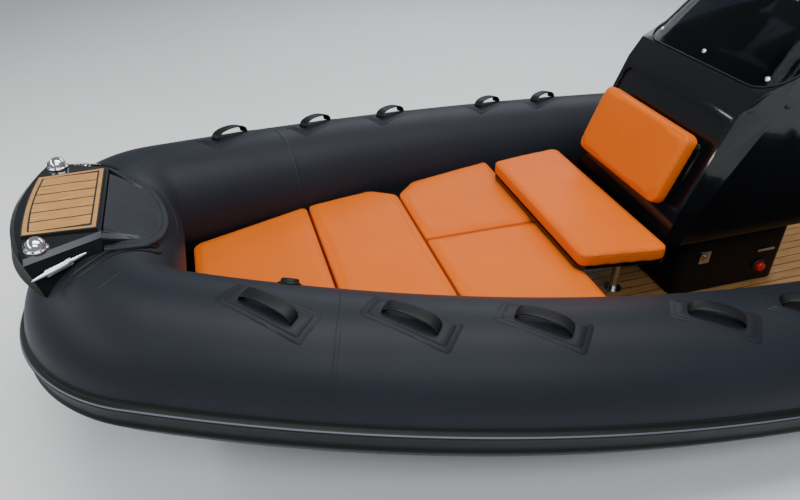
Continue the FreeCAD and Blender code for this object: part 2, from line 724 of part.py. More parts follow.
def tread_prism(shrink):
    rim_arc = Part.Ellipse(Vector(step_aft_x - 2, tread_half - shrink, 0),
                           Vector(step_aft_x - 2 - tread_long + shrink, 0, 0),
                           Vector(step_aft_x - 2, 0, 0))
    disc = Part.Face(Part.Wire(rim_arc.toShape()))
    aft_half = block(step_aft_x - 2 - 2 * tread_long, step_aft_x - 2,
                     -2 * tread_half, 2 * tread_half, 600, 950)
    disc.translate(Vector(0, 0, 600))
    return disc.extrude(Vector(0, 0, 350)).common(aft_half)


flat_pad = tube(bow_run, seat_r + tread_thick).common(tread_prism(0.0))
ring = tube(bow_run, seat_r + tread_thick + tread_rim).common(tread_prism(0.0).cut(tread_prism(26.0)))
ramp_outline = [(step_aft_x - 2, 0, step_top - 8), (step_aft_x - 100, 0, 826),
                (step_aft_x - 100, 0, step_low), (step_aft_x - 2, 0, step_low)]
ramp = prism(polygon(ramp_outline), Vector(0, 2 * ramp_half, 0))
ramp.translate(Vector(0, -ramp_half, 0))
tread = flat_pad.fuse([ring, ramp]).cut(bow_seat).cut(step_solid)
save("bow_tread_pad", largest(tread))

# Navigation lamps: a low base and a chromed dome
lamp_x = step_nose - 142.0
lamp_y = 300.0
lamp_r = 33.0
lamp_foot = 9.0          # height of the low base under the dome
lamp_z = step_top + seat_gap
lamp_base = Part.makeCylinder(lamp_r + 5, lamp_foot, Vector(lamp_x, lamp_y, lamp_z))
dome = Part.makeSphere(lamp_r, Vector(lamp_x, lamp_y, lamp_z + lamp_foot), Vector(0, 0, 1), 0, 90, 360)
save("nav_lights", pair(lamp_base.fuse(dome).removeSplitter()))

# Folding cleats on the moulding's sloping wings
cleat_along = ((wing_front_in + wing_front_out) - (wing_aft_in + wing_aft_out)).normalize()
cleat_up = cleat_along.cross(wing_aft_out - wing_aft_in + wing_front_out - wing_front_in)
cleat_up.normalize()
if cleat_up.z < 0:
    cleat_up = cleat_up * -1.0
cleat_lift = 0.7         # keeps its flat foot clear of the twisted shoulder
cleat_centre = (wing_front_in + wing_aft_in + wing_aft_out + wing_front_out) * 0.25
cleat_centre += cleat_along * 33 + (wing_front_in - wing_front_out).normalize() * 7


def cleat():
    base_plate = rounded_block([(-48, -19), (48, -19), (48, 19), (-48, 19)], [15] * 4, 0.0, 5.0)
    posts = [Part.makeCylinder(7, 19, Vector(x, 0, 1)) for x in (-26, 26)]
    bar = rounded_block([(-92, -9), (92, -9), (92, 9), (-92, 9)], [7] * 4, 14.0, 23.0)
    middle = rounded_block([(-36, -13), (36, -13), (36, 13), (-36, 13)], [5] * 4, 13.0, 24.0)
    shape = base_plate.fuse(posts + [bar, middle]).removeSplitter()
    return placed(shape, cleat_along, cleat_up, cleat_centre + cleat_up * cleat_lift)


save("bow_cleats", pair(cleat()))

# Towing eyes: lugs with a cross hole
eye_r = 12.0
eye_thick = 12.0


def eye_lug(x, y, z, back):
    """Round lug with a hole along Y, joined by its stem towards back."""
    start = Vector(x, y - eye_thick / 2, z)
    head = Part.makeCylinder(eye_r * 2.2, eye_thick, start, Vector(0, 1, 0))
    reach = abs(back)
    stem = Part.makeBox(reach, eye_thick, eye_r * 3.2,
                        Vector(min(x, x + back), y - eye_thick / 2, z - eye_r * 1.6))
    hole = Part.makeCylinder(eye_r, eye_thick * 3, start - Vector(0, eye_thick, 0), Vector(0, 1, 0))
    return head.fuse(stem).removeSplitter().cut(hole)


bow_eye = largest(eye_lug(6050.0, 0.0, 150.0, -120.0).cut(hull_whole))
save("bow_tow_eye", bow_eye)
stern_eye_x = -38.0
stern_eye_y = 480.0
stern_eye_z = 60.0
eye_plate = block(-8, -seat_gap, stern_eye_y - 28, stern_eye_y + 28, stern_eye_z - 32, stern_eye_z + 32)
stern_eye = eye_lug(stern_eye_x, stern_eye_y, stern_eye_z, -stern_eye_x - 5).fuse(eye_plate)
stern_eye.rotate(Vector(0, stern_eye_y, stern_eye_z), Vector(1, 0, 0), 90)
save("stern_eyes", pair(stern_eye.removeSplitter()))


# Outboard engine
def side_plate(outline, y, thick):
    """Plate drawn as (x, z) points with rounded corners, standing in a fore-and-aft plane."""
    wire = rounded_wire([(p[0], p[1]) for p in outline], [p[2] for p in outline], 0.0)
    wire.rotate(Vector(0, 0, 0), Vector(1, 0, 0), 90)
    wire.translate(Vector(0, y, 0))
    return prism(wire, Vector(0, thick, 0))


arm_outline = [(-seat_gap, 30, 10), (-seat_gap, 300, 10), (tilt_x + 45, tilt_z + 38, 30),
               (tilt_x - 38, tilt_z + 38, 30), (tilt_x - 38, tilt_z - 60, 60), (-45, 30, 30)]
arm = side_plate(arm_outline, arm_y, arm_thick)
tilt_pin = Part.makeCylinder(tilt_pin_r, 2 * (arm_y + arm_thick), Vector(tilt_x, -arm_y - arm_thick, tilt_z),
                             Vector(0, 1, 0))
cross_bar = block(-26, -seat_gap, -arm_y, arm_y, 40, 75)
save("clamp_bracket", arm.fuse([mirror_y(arm), tilt_pin, cross_bar]).removeSplitter())

hub_half = arm_y - run_gap
tilt_hub = Part.makeCylinder(hub_r, 2 * hub_half, Vector(tilt_x, -hub_half, tilt_z), Vector(0, 1, 0))
swivel_tube = Part.makeCylinder(swivel_r, swivel_high - swivel_low, Vector(steer_x, 0, swivel_low))
web = side_plate([(tilt_x - 5, tilt_z + hub_r - 4, 8), (steer_x, swivel_high - 12, 8),
                  (steer_x, swivel_low + 30, 8), (steer_x + 45, swivel_low + 60, 25),
                  (tilt_x - 5, tilt_z - hub_r + 4, 8)], -28.0, 56.0)
swivel = tilt_hub.fuse([swivel_tube, web])
swivel = swivel.cut(Part.makeCylinder(tilt_pin_r + seat_gap, 4 * hub_half,
                                      Vector(tilt_x, -2 * hub_half, tilt_z), Vector(0, 1, 0)))
swivel = swivel.cut(Part.makeCylinder(pivot_r + seat_gap, 2 * swivel_high,
                                      Vector(steer_x, 0, swivel_low - 50)))
save("swivel_bracket", largest(swivel))


def oval(x_front, x_aft, half, height, power):
    """Closed smooth outline between a circle and a rectangle, by a formula."""
    points = []
    steps = 16
    for i in range(steps):
        turn = 2 * math.pi * (i + 0.5) / steps
        c = math.cos(turn)
        s = math.sin(turn)
        px = math.copysign(abs(c) ** (2.0 / power), c)
        py = math.copysign(abs(s) ** (2.0 / power), s)
        points.append(Vector((x_front + x_aft) / 2 + px * (x_front - x_aft) / 2, py * half, height))
    curve = Part.BSplineCurve()
    curve.interpolate(Points=points, PeriodicFlag=True)
    return Part.Wire(curve.toShape())


cowl_low = 440.0
cowl_shell = Part.makeLoft([
    oval(-175, -640, 165, cowl_low, 3.0), oval(-140, -760, 218, cowl_low + 90, 3.2),
    oval(-132, -805, 238, cowl_low + 330, 3.2), oval(-150, -790, 222, cowl_low + 520, 3.0),
    oval(-215, -725, 165, cowl_low + 625, 2.8), oval(-300, -640, 100, cowl_low + 645, 2.5)], True, False)
engine_x = -680.0
engine_size = (470.0, 290.0, 400.0)
engine_z = cowl_low + 50.0
cavity = block(engine_x - 6, engine_x + engine_size[0] + 6, -engine_size[1] / 2 - 6, engine_size[1] / 2 + 6,
               engine_z, engine_z + engine_size[2] + 8)
save("engine_cowl", cowl_shell.cut(cavity))
save("engine_block", block(engine_x, engine_x + engine_size[0], -engine_size[1] / 2, engine_size[1] / 2,
                           engine_z, engine_z + engine_size[2]))

leg_x = -395.0
yoke_low = swivel_high + run_gap
leg = Part.makeLoft([
    oval(leg_x + 165, leg_x - 185, 118, cowl_low - seat_gap, 2.6),
    oval(leg_x + 132, leg_x - 150, 78, 250, 2.4),
    oval(leg_x + 122, leg_x - 140, 60, -60, 2.2),
    oval(leg_x + 120, leg_x - 150, 46, plate_z, 2.0)], True, False)
top_yoke = rounded_block([(steer_x + 42, 48), (leg_x, 62), (leg_x, -62), (steer_x + 42, -48)],
                         [38, 5, 5, 38], yoke_low, cowl_low - 14)
low_yoke = rounded_block([(steer_x + 40, 40), (leg_x, 40), (leg_x, -40), (steer_x + 40, -40)],
                         [34, 5, 5, 34], swivel_low - run_gap - 36, swivel_low - run_gap)
pivot = Part.makeCylinder(pivot_r, yoke_low - swivel_low + 40, Vector(steer_x, 0, swivel_low - 30))
save("outboard_leg", leg.fuse([top_yoke, low_yoke, pivot]).removeSplitter())

torpedo_front = -235.0
torpedo_aft = prop_hub_x + run_gap
torpedo_r = 58.0
torpedo_wire = Part.Wire([
    Part.Arc(Vector(torpedo_front, 0, prop_z), Vector(torpedo_front - 45, 0, prop_z + torpedo_r * 0.72),
             Vector(torpedo_front - 130, 0, prop_z + torpedo_r)).toShape(),
    Part.LineSegment(Vector(torpedo_front - 130, 0, prop_z + torpedo_r),
                     Vector(torpedo_aft, 0, prop_z + torpedo_r * 0.8)).toShape(),
    Part.LineSegment(Vector(torpedo_aft, 0, prop_z + torpedo_r * 0.8),
                     Vector(torpedo_aft, 0, prop_z)).toShape(),
    Part.LineSegment(Vector(torpedo_aft, 0, prop_z), Vector(torpedo_front, 0, prop_z)).toShape()])
torpedo = Part.Face(torpedo_wire).revolve(Vector(0, 0, prop_z), Vector(1, 0, 0), 360)
strut = Part.makeLoft([oval(leg_x + 120, leg_x - 150, 46, plate_z, 2.0),
                       oval(leg_x + 95, leg_x - 160, 34, prop_z + 20, 2.0)], True, False)
vent_plate = prism(oval(leg_x + 130, -720, 105, plate_z - 12, 2.6), Vector(0, 0, 9.0))
skeg = side_plate([(leg_x + 60, prop_z - 20, 5), (leg_x - 20, prop_z - prop_r, 14),
                   (leg_x - 95, prop_z - prop_r, 14), (leg_x - 150, prop_z - 20, 5)], -7.0, 14.0)
shaft_long = prop_hub_long * 0.75
prop_shaft = Part.makeCylinder(shaft_r, shaft_long + 30, Vector(torpedo_aft + 20, 0, prop_z),
                               Vector(-1, 0, 0))
save("lower_unit", torpedo.fuse([strut, vent_plate, skeg, prop_shaft]).removeSplitter())


def blade_section(radius, chord, thick):
    """Lens section of a blade, turned to the pitch at its radius."""
    pitch = math.atan2(prop_pitch, 2 * math.pi * radius)
    along = Vector(math.sin(pitch), math.cos(pitch), 0)
    face = Vector(math.cos(pitch), -math.sin(pitch), 0)
    centre = Vector(prop_hub_x - prop_hub_long * 0.45, 0, prop_z + radius)
    ends = [centre - along * (chord / 2), centre + along * (chord / 2)]
    return Part.Wire([Part.Arc(ends[0], centre + face * (thick / 2), ends[1]).toShape(),
                      Part.Arc(ends[1], centre - face * (thick / 2), ends[0]).toShape()])


blade = Part.makeLoft([blade_section(prop_hub_r * 0.6, 62, 16), blade_section(prop_r * 0.5, 128, 11),
                       blade_section(prop_r * 0.8, 122, 7), blade_section(prop_r * 0.97, 58, 4)], True, False)
prop = Part.makeCone(prop_hub_r, prop_hub_r * 0.85, prop_hub_long, Vector(prop_hub_x, 0, prop_z),
                     Vector(-1, 0, 0))
for angle in (0, 120, 240):
    turned = blade.copy()
    turned.rotate(Vector(0, 0, prop_z), Vector(1, 0, 0), angle)
    prop = prop.fuse(turned)
prop = prop.cut(Part.makeCylinder(shaft_r + seat_gap, shaft_long + 12, Vector(prop_hub_x, 0, prop_z),
                                  Vector(-1, 0, 0)))
save("propeller", prop.removeSplitter())
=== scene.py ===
import json
import math
from math import cos, pi, sin
import bmesh
import bpy
from mathutils import Matrix, Vector
from mathutils.bvhtree import BVHTree


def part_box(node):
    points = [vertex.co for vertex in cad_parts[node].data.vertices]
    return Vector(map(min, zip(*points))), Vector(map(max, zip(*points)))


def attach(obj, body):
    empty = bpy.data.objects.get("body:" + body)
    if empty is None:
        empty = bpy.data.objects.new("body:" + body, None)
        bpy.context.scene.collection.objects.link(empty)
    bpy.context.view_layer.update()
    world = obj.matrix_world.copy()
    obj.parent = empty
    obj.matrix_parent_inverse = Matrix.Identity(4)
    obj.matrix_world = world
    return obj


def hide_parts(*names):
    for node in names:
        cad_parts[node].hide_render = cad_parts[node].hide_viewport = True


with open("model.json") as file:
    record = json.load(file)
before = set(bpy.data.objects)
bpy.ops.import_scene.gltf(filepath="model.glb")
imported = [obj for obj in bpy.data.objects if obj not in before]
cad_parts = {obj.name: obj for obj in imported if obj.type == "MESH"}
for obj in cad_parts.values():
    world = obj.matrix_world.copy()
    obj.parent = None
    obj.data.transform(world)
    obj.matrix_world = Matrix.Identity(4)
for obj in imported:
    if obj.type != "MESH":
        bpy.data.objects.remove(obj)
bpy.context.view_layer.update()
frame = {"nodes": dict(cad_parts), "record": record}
nodes = frame["nodes"]
body_of = {n: b for b, members in frame["record"]["behaviour"]["bodies"].items() for n in members}
scene = bpy.context.scene
UP = Vector((0, 0, 1))
PORT = Vector((0, 1, 0))
EYE = Vector((5.5753, 2.3481, 2.1105))          # the camera's place
LOOK = Vector((-0.2396, -0.7931, -0.5601))      # the way it looks

# Tube path, in metres, as the part has it
TUBE_R = 0.27
TUBE_Y = 0.985
TUBE_Z = 0.317
SHEER_X = 1.845
BOW_RISE = 0.272
CURVE_X = 3.35
CURVE_R = 6.7
CORNER_X = 5.846
CORNER_R = 0.29
SEAM_1 = 2.9
SEAM_2 = 5.3
TURN = math.asin((CORNER_X - CURVE_X) / CURVE_R)
CORNER_CX = CORNER_X - CORNER_R * sin(TURN)
CORNER_CY = TUBE_Y - CURVE_R * (1 - cos(TURN)) - CORNER_R * cos(TURN)
NOSE_X = CORNER_CX + CORNER_R
BOW_STEPS = 14
CORNER_STEPS = 22
NOSE_STEPS = 6


def side_station(x):
    heading = math.asin(max(0.0, x - CURVE_X) / CURVE_R)
    return (x, TUBE_Y - CURVE_R * (1 - cos(heading)), heading)


def corner_station(heading):
    return (CORNER_CX + CORNER_R * sin(heading), CORNER_CY + CORNER_R * cos(heading), heading)


def on_tube(station, degrees, radius):
    """Point round the tube at a station; degrees run from the top to the outer side."""
    x, y, heading = station
    rise = max(0.0, x - SHEER_X) / (NOSE_X - SHEER_X)
    slope = 2 * BOW_RISE * rise / (NOSE_X - SHEER_X) * cos(heading)
    along = Vector((cos(heading), -sin(heading), slope)).normalized()
    out = Vector((sin(heading), cos(heading), 0))
    up = along.cross(out)
    turn = math.radians(degrees)
    centre = Vector((x, y, TUBE_Z + BOW_RISE * rise ** 2))
    return centre + up * (radius * cos(turn)) + out * (radius * sin(turn))


def run_of(start, end, steps):
    return [side_station(start + (end - start) * i / steps) for i in range(steps + 1)]


def other_side(stations):
    return [(x, -y, pi - heading) for x, y, heading in reversed(stations)]


def bow_path():
    """Stations from the port seam round the nose to the starboard seam."""
    half = run_of(SEAM_2, CORNER_X, BOW_STEPS)
    half += [corner_station(TURN + (pi / 2 - TURN) * i / CORNER_STEPS)
             for i in range(1, CORNER_STEPS + 1)]
    middle = [(NOSE_X, half[-1][1] * (1 - i / NOSE_STEPS), pi / 2) for i in range(1, 2 * NOSE_STEPS)]
    return half + middle + other_side(half)


# Materials
FACTOR, COLOR_A, COLOR_B, MIXED = 0, 6, 7, 2    # a mix node's sockets for colours


class Shader:
    """A material whose principled shader takes its varying inputs from procedural nodes."""

    def __init__(self, name, color, rough, coat=0.0, coat_rough=0.03, spec=0.5):
        self.material = bpy.data.materials.new(name)
        self.material.use_nodes = True
        self.tree = self.material.node_tree
        self.shader = self.tree.nodes["Principled BSDF"]
        self.set("Base Color", (*color, 1.0))
        self.set("Roughness", rough)
        self.set("Coat Weight", coat)
        self.set("Coat Roughness", coat_rough)
        self.set("Specular IOR Level", spec)
        self.coords = self.tree.nodes.new("ShaderNodeTexCoord").outputs["Object"]
        self.bump = None

    def set(self, name, value):
        self.shader.inputs[name].default_value = value

    def node(self, kind, **inputs):
        made = self.tree.nodes.new(kind)
        for key, value in inputs.items():
            made.inputs[key].default_value = value
        return made

    def link(self, a, b):
        self.tree.links.new(a, b)

    def feed(self, socket, value):
        """Link the input to another node's socket, or give it a constant."""
        if isinstance(value, bpy.types.NodeSocket):
            self.link(value, socket)
        elif value is not None:
            socket.default_value = (*value, 1.0) if isinstance(value, tuple) else value

    def noise(self, scale, detail, stretch=(1, 1, 1), rough=0.5):
        mapping = self.node("ShaderNodeMapping", Scale=stretch)
        self.link(self.coords, mapping.inputs["Vector"])
        made = self.node("ShaderNodeTexNoise", Scale=scale, Detail=detail, Roughness=rough)
        self.link(mapping.outputs["Vector"], made.inputs["Vector"])
        return made.outputs["Fac"]

    def cells(self, scale):
        made = self.node("ShaderNodeTexVoronoi", Scale=scale)
        made.feature = "DISTANCE_TO_EDGE"
        self.link(self.coords, made.inputs["Vector"])
        return made.outputs["Distance"]

    def waves(self, scale, direction):
        made = self.node("ShaderNodeTexWave", Scale=scale)
        made.bands_direction = direction
        self.link(self.coords, made.inputs["Vector"])
        return made.outputs["Fac"]

    def ramp(self, source, stops):
        made = self.node("ShaderNodeValToRGB")
        elements = made.color_ramp.elements
        while len(elements) < len(stops):
            elements.new(0.5)
        for element, (at, color) in zip(elements, stops):
            element.position = at
            element.color = (*color, 1.0)
        self.link(source, made.inputs["Fac"])
        return made.outputs["Color"]

    def math(self, operation, a, b=None):
        made = self.node("ShaderNodeMath")
        made.operation = operation
        self.feed(made.inputs[0], a)
        self.feed(made.inputs[1], b)
        return made.outputs["Value"]

    def mix(self, factor, a, b, blend="MIX"):
        made = self.node("ShaderNodeMix")
        made.data_type = "RGBA"
        made.blend_type = blend
        for number, value in ((FACTOR, factor), (COLOR_A, a), (COLOR_B, b)):
            self.feed(made.inputs[number], value)
        return made.outputs[MIXED]

    def colour(self, source):
        self.link(source, self.shader.inputs["Base Color"])

    def drift(self, scale, detail, low, high, start=0.3):
        """Let the base colour drift between two shades."""
        self.colour(self.ramp(self.noise(scale, detail), [(start, low), (1 - start, high)]))

    def roughness(self, source, low, high):
        made = self.node("ShaderNodeMapRange", **{"To Min": low, "To Max": high})
        self.link(source, made.inputs["Value"])
        self.link(made.outputs["Result"], self.shader.inputs["Roughness"])

    def relief(self, source, strength, distance):
        made = self.node("ShaderNodeBump", Strength=strength, Distance=distance)
        self.link(source, made.inputs["Height"])
        if self.bump is not None:
            self.link(self.bump, made.inputs["Normal"])
        self.bump = made.outputs["Normal"]
        self.link(self.bump, self.shader.inputs["Normal"])


def scaled(color, share):
    return tuple(c * share for c in color)


def speckled(name, color, rough, grain, depth, vary=0.06, **more):
    """A plain moulded or coated surface: faint colour drift, uneven gloss and a fine grain."""
    made = Shader(name, color, rough, **more)
    made.drift(2.3, 4.0, scaled(color, 0.88), scaled(color, 1.12))
    made.roughness(made.noise(14.0, 5.0), rough - vary, rough + vary)
    made.relief(made.noise(grain, 2.0), 0.35, depth)
    return made.material


def fabric_shader(name, color):
    made = Shader(name, color, 0.5, spec=0.21)
    made.set("Sheen Weight", 0.02)
    made.set("Sheen Roughness", 0.5)
    made.set("Sheen Tint", (0.62, 0.7, 0.86, 1.0))
    made.drift(1.6, 5.0, scaled(color, 0.86), scaled(color, 1.16), 0.25)
    made.roughness(made.noise(5.0, 6.0), 0.42, 0.56)
    made.relief(made.math("MULTIPLY", made.waves(420.0, "X"), made.waves(420.0, "Z")), 0.1, 0.0004)
    made.relief(made.noise(9.0, 3.0), 0.1, 0.004)
    return made.material


def vinyl_shader():
    made = Shader("vinyl_orange_grain", (0.68, 0.128, 0.005), 0.46, spec=0.1)
    made.drift(3.0, 5.0, (0.65, 0.119, 0.0045), (0.71, 0.138, 0.0055), 0.25)
    made.roughness(made.noise(18.0, 4.0), 0.4, 0.52)
    made.relief(made.cells(620.0), 0.16, 0.0005)
    made.relief(made.noise(26.0, 4.0), 0.1, 0.0012)
    return made.material


def teak_shader(name, tone=1.0, pitch=0.0, line=0.0):
    """Wood grain along X; with a pitch, planks of that width with a dark line between them."""
    made = Shader(name, (0.5, 0.3, 0.12), 0.5, spec=0.35)
    grain = made.noise(16.0, 8.0, (0.7, 9.0, 3.0), 0.62)
    fine = made.noise(60.0, 4.0, (0.25, 14.0, 4.0), 0.6)
    shades = ((0.3, (0.33, 0.168, 0.058)), (0.55, (0.5, 0.25, 0.075)), (0.75, (0.6, 0.355, 0.15)))
    wood = made.ramp(grain, [(at, scaled(shade, tone)) for at, shade in shades])
    dark = made.ramp(fine, [(0.35, (0.74, 0.7, 0.66)), (0.6, (1.0, 1.0, 1.0))])
    planks = made.mix(0.65, wood, dark, "MULTIPLY")
    if pitch:
        split = made.node("ShaderNodeSeparateXYZ")
        made.link(made.coords, split.inputs["Vector"])
        place = made.math("DIVIDE", made.math("ADD", split.outputs["Y"], 10 * pitch), pitch)
        edge = made.math("ABSOLUTE", made.math("SUBTRACT", made.math("FRACT", place), 0.5))
        seam = made.math("GREATER_THAN", edge, 0.5 - line / pitch / 2)
        random = made.node("ShaderNodeTexWhiteNoise")
        random.noise_dimensions = "1D"
        made.link(made.math("FLOOR", place), random.inputs["W"])
        toned = made.ramp(random.outputs["Value"], [(0.0, (0.72, 0.7, 0.66)), (1.0, (1.0, 1.0, 1.0))])
        planks = made.mix(seam, made.mix(0.5, planks, toned, "MULTIPLY"), (0.012, 0.011, 0.01))
        made.relief(made.math("SUBTRACT", 1.0, seam), 0.5, 0.0012)
    made.colour(planks)
    made.relief(fine, 0.18, 0.0006)
    return made.material


def metal_shader(name, color, rough, brushed=0.0):
    made = Shader(name, color, rough)
    made.set("Metallic", 1.0)
    made.drift(30.0, 5.0, scaled(color, 0.86), color)
    made.roughness(made.noise(60.0, 4.0), max(0.02, rough - 0.04), rough + 0.06)
    if brushed:
        made.relief(made.noise(260.0, 2.0, (0.08, 1.0, 1.0)), brushed, 0.0006)
    return made.material


def glass_shader():
    made = Shader("smoked_sheet", (0.2, 0.22, 0.26), 0.03)
    made.set("Transmission Weight", 1.0)
    made.set("IOR", 1.14)
    made.roughness(made.noise(40.0, 4.0), 0.01, 0.06)
    return made.material


def ribs_shader():
    """A rubber pad with fine parallel ribs."""
    color = (0.0135, 0.0155, 0.0215)
    made = Shader("pad_ribs", color, 0.52, spec=0.22)
    made.drift(7.0, 4.0, scaled(color, 0.85), scaled(color, 1.2))
    made.relief(made.waves(21.0, "Y"), 0.6, 0.0013)
    made.relief(made.noise(500.0, 2.0), 0.15, 0.0004)
    return made.material


TUBE_FABRIC = fabric_shader("tube_fabric_weave", (0.011, 0.013, 0.0185))
PATCH_FABRIC = fabric_shader("patch_fabric_weave", (0.01, 0.0115, 0.0155))
RUBBER = speckled("black_rubber", (0.006, 0.0066, 0.0078), 0.45, 260.0, 0.0006, spec=0.2)
RUBBER_MATT = speckled("matt_rubber", (0.016, 0.0175, 0.021), 0.55, 320.0, 0.0006, spec=0.4)
# Lighter grey for the rub strake's ridge crowns: a painted highlight
RUBBER_PAINTED_HIGHLIGHT = speckled("rubber_ridge_painted_highlight", (0.085, 0.098, 0.115), 0.42, 240.0, 0.0005)
GELCOAT = speckled("black_gelcoat", (0.004, 0.0045, 0.0055), 0.12, 34.0, 0.0004, 0.04, spec=0.3, coat=0.35)
# A darker, duller copy of the black gelcoat: painted shade for the moulding's steep and low faces
GELCOAT_PAINTED_SHADE = speckled("black_gelcoat_painted_shade", (0.003, 0.0034, 0.0042), 0.55, 60.0, 0.0004, spec=0.06)
# A lighter, rougher copy of the black gelcoat: a painted highlight on the moulding's shoulders and horns
GELCOAT_PAINTED_HIGHLIGHT = speckled("black_gelcoat_painted_highlight", (0.02, 0.023, 0.031), 0.36, 60.0, 0.0004, spec=0.28,
                        coat=0.1, coat_rough=0.22)
GELCOAT_SOFT = speckled("black_gelcoat_soft", (0.0045, 0.0052, 0.0062), 0.4, 220.0, 0.0005, spec=0.14)
VINYL = vinyl_shader()
THREAD = speckled("orange_thread", (0.5, 0.085, 0.01), 0.6, 700.0, 0.0005)
# The deck's teak is toned down to 0.7 of the pad's: painted shade, as the deck lies in shade
TEAK_DECK_PAINTED_SHADE = teak_shader("teak_deck_painted_shade", 0.7, 0.052, 0.005)
TEAK_PAD = teak_shader("teak_pad")
CAULK = speckled("dark_caulk", (0.01, 0.009, 0.008), 0.6, 300.0, 0.0004)
STAINLESS = metal_shader("brushed_stainless", (0.66, 0.66, 0.64), 0.24, 0.35)
POLISHED = metal_shader("polished_stainless", (0.68, 0.68, 0.66), 0.16)
CHROME = metal_shader("polished_chrome", (0.86, 0.87, 0.88), 0.05)
ALLOY = metal_shader("cast_alloy", (0.32, 0.33, 0.34), 0.36, 0.2)
PLASTIC = speckled("black_plastic", (0.012, 0.012, 0.013), 0.48, 340.0, 0.0006)
PLASTIC_GREY = speckled("grey_plastic", (0.055, 0.058, 0.064), 0.45, 300.0, 0.0005)
RED = speckled("red_plastic", (0.5, 0.01, 0.012), 0.32, 200.0, 0.0004, coat=0.3)
GLASS = glass_shader()
LENS = speckled("dark_lens", (0.006, 0.008, 0.011), 0.05, 60.0, 0.0002, 0.03, coat=1.0)
DIAL = speckled("pale_dial", (0.62, 0.62, 0.6), 0.5, 200.0, 0.0003)
PAINT = speckled("engine_paint", (0.014, 0.0155, 0.018), 0.22, 420.0, 0.0004, coat=1.0, coat_rough=0.04)
PAINT_GREY = speckled("engine_paint_grey", (0.12, 0.125, 0.13), 0.3, 420.0, 0.0004, coat=0.6, coat_rough=0.08)
IRON = speckled("cast_iron", (0.05, 0.048, 0.046), 0.6, 180.0, 0.0012)
LINER = ribs_shader()


# Mesh helpers
def piece(name, mesh, material, body="boat", slot=None, smooth=True, stands_for=()):
    """Add a piece; its slot argument is not used."""
    mesh.name = name
    made = bpy.data.objects.new(name, mesh)
    scene.collection.objects.link(made)
    materials = material if isinstance(material, list) else [material]
    for one in materials:
        mesh.materials.append(one)
    if smooth:
        shade_smooth(mesh)
    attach(made, body)
    if stands_for:
        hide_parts(*stands_for)
    return made


def dressed(node, mesh, material, **more):
    """A piece that is shown in place of one node of the part."""
    return piece(node + "_dressed", mesh, material, body_of[node], stands_for=(node,), **more)


def shade_smooth(mesh):
    mesh.polygons.foreach_set("use_smooth", [True] * len(mesh.polygons))


def mesh_of(work):
    mesh = bpy.data.meshes.new("mesh")
    work.to_mesh(mesh)
    work.free()
    return mesh


def turns(count):
    """Angles evenly spaced round a circle."""
    return [2 * pi * k / count for k in range(count)]


def swell(value, power):
    """Power that keeps the sign, to square off or thin a round section."""
    return math.copysign(abs(value) ** power, value)


def grid_mesh(rows, ring=False, closed=False, caps=False, tags=None):
    """Quads between rows of points, which may be closed and make a ring; tags number the materials."""
    count = len(rows[0])
    work = bmesh.new()
    verts = [[work.verts.new(p) for p in row] for row in rows]
    for i in range(len(rows) if ring else len(rows) - 1):
        near, far = verts[i], verts[(i + 1) % len(rows)]
        for j in range(count if closed else count - 1):
            k = (j + 1) % count
            face = work.faces.new((near[j], near[k], far[k], far[j]))
            face.material_index = tags[j] if tags else 0
    if caps:
        work.faces.new(verts[0][::-1])
        work.faces.new(verts[-1])
    bmesh.ops.recalc_face_normals(work, faces=work.faces)
    return mesh_of(work)


def joined(meshes):
    """One mesh of several, with each one's material index kept."""
    work = bmesh.new()
    for mesh in meshes:
        work.from_mesh(mesh)
        bpy.data.meshes.remove(mesh)
    return mesh_of(work)


def mirrored(mesh):
    made = mesh.copy()
    made.transform(Matrix.Scale(-1, 4, PORT))
    made.flip_normals()
    return made


def both(mesh):
    return joined([mirrored(mesh), mesh])


def indexed(mesh, index):
    mesh.polygons.foreach_set("material_index", [index] * len(mesh.polygons))
    return mesh


def rope_mesh(points, radius, around=8, closed=False, squash=1.0):
    """Round bead along points."""
    count = len(points)
    rows = []
    side = None
    for i, p in enumerate(points):
        after = points[(i + 1) % count] if closed or i < count - 1 else p
        before = points[i - 1] if closed or i > 0 else p
        along = (after - before).normalized()
        if side is None:
            side = along.orthogonal().normalized()
        side = (side - along * side.dot(along)).normalized()
        up = along.cross(side)
        rows.append([p + side * (radius * cos(turn)) + up * (radius * squash * sin(turn))
                     for turn in turns(around)])
    return grid_mesh(rows, ring=closed, closed=True, caps=not closed)


def turned(outline, segments=48, origin=(0, 0, 0), axis=UP):
    """Body of revolution: outline holds (radius, height) pairs, from one end of the axis to the other."""
    rows = [[Vector((max(radius, 1e-5) * cos(turn), max(radius, 1e-5) * sin(turn), height))
             for turn in turns(segments)] for radius, height in outline]
    mesh = grid_mesh(rows, closed=True, caps=True)
    turn = UP.rotation_difference(Vector(axis)).to_matrix().to_4x4()
    mesh.transform(Matrix.Translation(Vector(origin)) @ turn)
    return mesh


def block(size, centre, bevel, segments=3):
    work = bmesh.new()
    bmesh.ops.create_cube(work, size=1.0)
    for vert in work.verts:
        vert.co = Vector((vert.co.x * size[0], vert.co.y * size[1], vert.co.z * size[2]))
    bmesh.ops.bevel(work, geom=work.edges[:], offset=bevel, segments=segments, affect="EDGES", profile=0.5)
    mesh = mesh_of(work)
    mesh.transform(Matrix.Translation(centre))
    return mesh


def spun(mesh, degrees, spot=(0, 0, 0), axis="Z"):
    """The mesh turned about an axis through the origin and then moved to the spot."""
    mesh.transform(Matrix.Translation(spot) @ Matrix.Rotation(math.radians(degrees), 4, axis))
    return mesh


def tree_of(mesh):
    """Tree for rays and nearest points on a mesh."""
    return BVHTree.FromPolygons([v.co for v in mesh.vertices], [tuple(p.vertices) for p in mesh.polygons])


